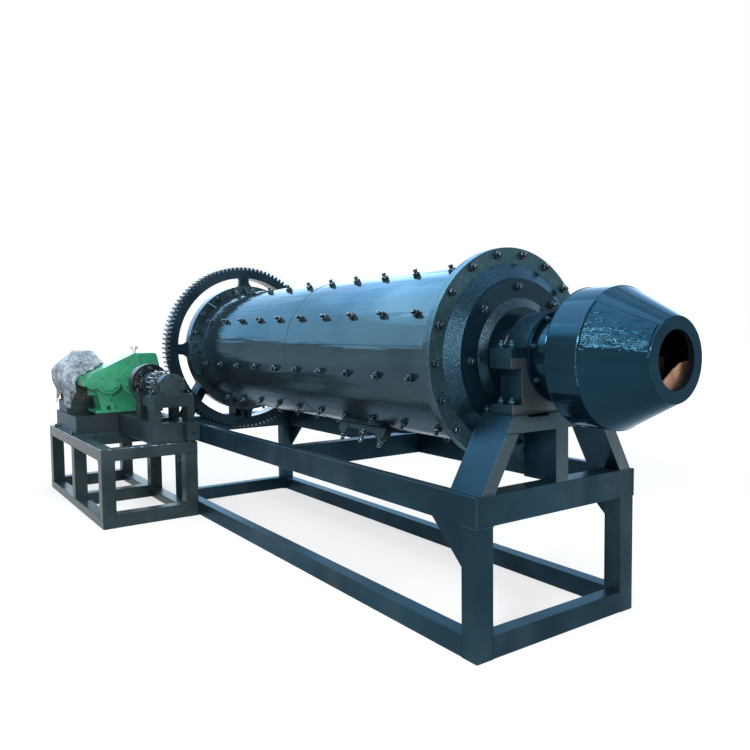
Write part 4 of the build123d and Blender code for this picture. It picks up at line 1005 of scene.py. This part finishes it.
# Motor and its stool
# A foot-mounted motor with a ribbed cast body, on a boxed steel stool. Almost all of it is under
# the film; the dark ribs show below the film's edge.
motor_paint = Finish("motor_enamel")
motor_dust = motor_paint.band(motor_paint.noise(30.0, 4.0), 0.5, 0.7)
motor_enamel = motor_paint.surface(
    Base_Color=motor_paint.mix(motor_dust, (0.012, 0.014, 0.017, 1.0), (0.06, 0.062, 0.062, 1.0)),
    Roughness=0.45 + motor_dust * 0.2,
    Normal=motor_paint.bump(motor_paint.noise(140.0, 3.0), 0.001),
)
coat(motor_enamel, "motor")
coat(base_steel, "motor_stool")

# Film over the motor
# Clear polythene film off a roll, thrown over the motor for its journey and drawn in round it.
# It is creased all over, cloudy where it is folded double, and grey with dust.
wrap_low, wrap_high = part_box("motor_wrap")
stool_low, stool_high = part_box("motor_stool")
motor_y = (stool_low.y + stool_high.y) / 2
motor_x = (wrap_low.x + wrap_high.x) / 2
film_width = 0.88
film_length = 1.02


def collider(name):
    """A merged copy of a fixed piece for the film to settle on."""
    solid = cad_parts[name].copy()
    solid.data = solid.data.copy()
    bpy.context.collection.objects.link(solid)
    deselect()
    solid.select_set(True)
    bpy.context.view_layer.objects.active = solid
    bpy.ops.object.mode_set(mode="EDIT")
    bpy.ops.mesh.select_all(action="SELECT")
    bpy.ops.mesh.remove_doubles(threshold=0.0002)
    bpy.ops.object.mode_set(mode="OBJECT")
    solid.modifiers.new("Collision", "COLLISION")
    solid.collision.thickness_outer = 0.006
    solid.collision.cloth_friction = 12.0
    return solid


carriers = ("motor", "motor_stool", "motor_subbase", "reducer_upper_case", "reducer_lower_case")
helpers = [collider(name) for name in carriers]
deselect()
bpy.ops.object.effector_add(type="FORCE", location=(motor_x, motor_y, pinion_z - 0.1))
drawn_in = bpy.context.object
drawn_in.field.strength = -9.0
helpers.append(drawn_in)

deselect()
bpy.ops.mesh.primitive_grid_add(
    x_subdivisions=66, y_subdivisions=74, size=1.0,
    location=(motor_x + 0.02, motor_y + 0.04, wrap_high.z + 0.02),
)
film = bpy.context.object
film.scale = (film_width, film_length, 1.0)
bpy.ops.object.transform_apply(location=True, rotation=False, scale=True)
for point in film.data.vertices:
    point.co.z += 0.012 * noise.noise(point.co * 9.0)
film.modifiers.new("Cloth", "CLOTH")
cloth = film.modifiers["Cloth"]
cloth.settings.quality = 6
cloth.settings.mass = 0.12
cloth.settings.tension_stiffness = 18.0
cloth.settings.compression_stiffness = 18.0
cloth.settings.shear_stiffness = 6.0
cloth.settings.bending_stiffness = 0.02
cloth.collision_settings.distance_min = 0.003
cloth.collision_settings.use_self_collision = True
cloth.collision_settings.self_distance_min = 0.003
scene = bpy.context.scene
settling_steps = 55
cloth.point_cache.frame_start = 1
cloth.point_cache.frame_end = 60
for step in range(1, settling_steps + 1):
    scene.frame_set(step)
deselect()
film.select_set(True)
bpy.context.view_layer.objects.active = film
bpy.ops.object.modifier_apply(modifier="Cloth")
for helper in helpers:
    bpy.data.objects.remove(helper)
scene.frame_set(1)
apply_modifier(film, "SMOOTH", factor=0.5, iterations=8)


def clamp(share):
    return min(max(share, 0.0), 1.0)


gather = Vector((wrap_high.x, motor_y - 0.065, pinion_z + 0.015))
gather_reach = 0.26
fold_depth = 0.01
folds_per_metre = 125.0
hem_z = pinion_z - 0.03
motor_clearance = 0.178
foot_half_x = 0.16
foot_half_y = 0.142
foot_drop = 0.2
noise.seed_set(1)
outward = [point.normal.copy() for point in film.data.vertices]
for point, normal in zip(film.data.vertices, outward):
    # The hanging edge draws in, the shoulders puff out and the hem tucks up by the gathered end.
    hang = clamp((pinion_z + 0.02 - point.co.z) / 0.13)
    drawn = 0.24 * hang * hang * (3.0 - 2.0 * hang)
    if point.co.y < motor_y:
        point.co.y += (motor_y - point.co.y) * drawn
    aside = Vector((point.co.x - motor_x, point.co.y - motor_y, 0.0))
    aside.normalize()
    puff = (0.05 if aside.y > 0.0 else 0.038) * 2.718 ** -(((point.co.z - pinion_z - 0.13) / 0.09) ** 2)
    if aside.x < 0.5:
        point.co += aside * puff
    tucked = clamp((point.co.y - motor_y + 0.1) / 0.08) * clamp((aside.x - 0.3) / 0.3)
    if point.co.z < hem_z:
        point.co.z += (hem_z - point.co.z) * 0.6 * tucked

    # Folds run out in a spiral from the point where the film is gathered.
    away = point.co - gather
    spiral = away.length * folds_per_metre - atan2(away.z, away.y)
    twist = sin(spiral + 2.6 * noise.noise(point.co * 8.0))
    fade = max(1.0 - (away.length / gather_reach) ** 2, 0.0)
    point.co += normal * fold_depth * twist * fade
    point.co += 0.003 * noise.noise_vector(point.co * 13.0)

    # Nothing of the film may lie inside the motor's barrel or its feet.
    across = Vector((0.0, point.co.y - motor_y, point.co.z - pinion_z))
    along_x = point.co.x - motor_x
    sunk_side = motor_clearance - across.length
    sunk_end = wrap_high.x - motor_x - abs(along_x)
    if sunk_side > 0.0 and sunk_end > 0.0:
        if sunk_side < sunk_end:
            point.co += across.normalized() * sunk_side
        else:
            point.co.x += sunk_end if along_x > 0.0 else -sunk_end
    if abs(along_x) < foot_half_x and abs(across.y) < foot_half_y and -foot_drop < across.z < 0.0:
        point.co.y = motor_y + (foot_half_y if across.y > 0.0 else -foot_half_y)
apply_modifier(film, "SUBSURF", levels=1, render_levels=1)

plastic = Finish("clouded_film")
folds = plastic.noise(13.0, 2.0) - 0.5
folds = folds.math("ABSOLUTE", folds, 0.0)
creases = plastic.noise(38.0, 3.0) - 0.5
creases = creases.math("ABSOLUTE", creases, 0.0)
cloudy = plastic.band(plastic.noise(7.0, 3.0), 0.4, 0.62)
clouded_film = plastic.surface(
    Base_Color=plastic.mix(cloudy, (0.29, 0.345, 0.395, 1.0), (0.41, 0.48, 0.55, 1.0)),
    Roughness=0.12,
    Specular_IOR_Level=0.5,
    Alpha=0.78 + cloudy * 0.2,
    Normal=plastic.bump(folds * 1.8 + creases * 0.3, -0.04),
)
settle(film, "film", "root", clouded_film, 60.0)
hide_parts("motor_wrap")
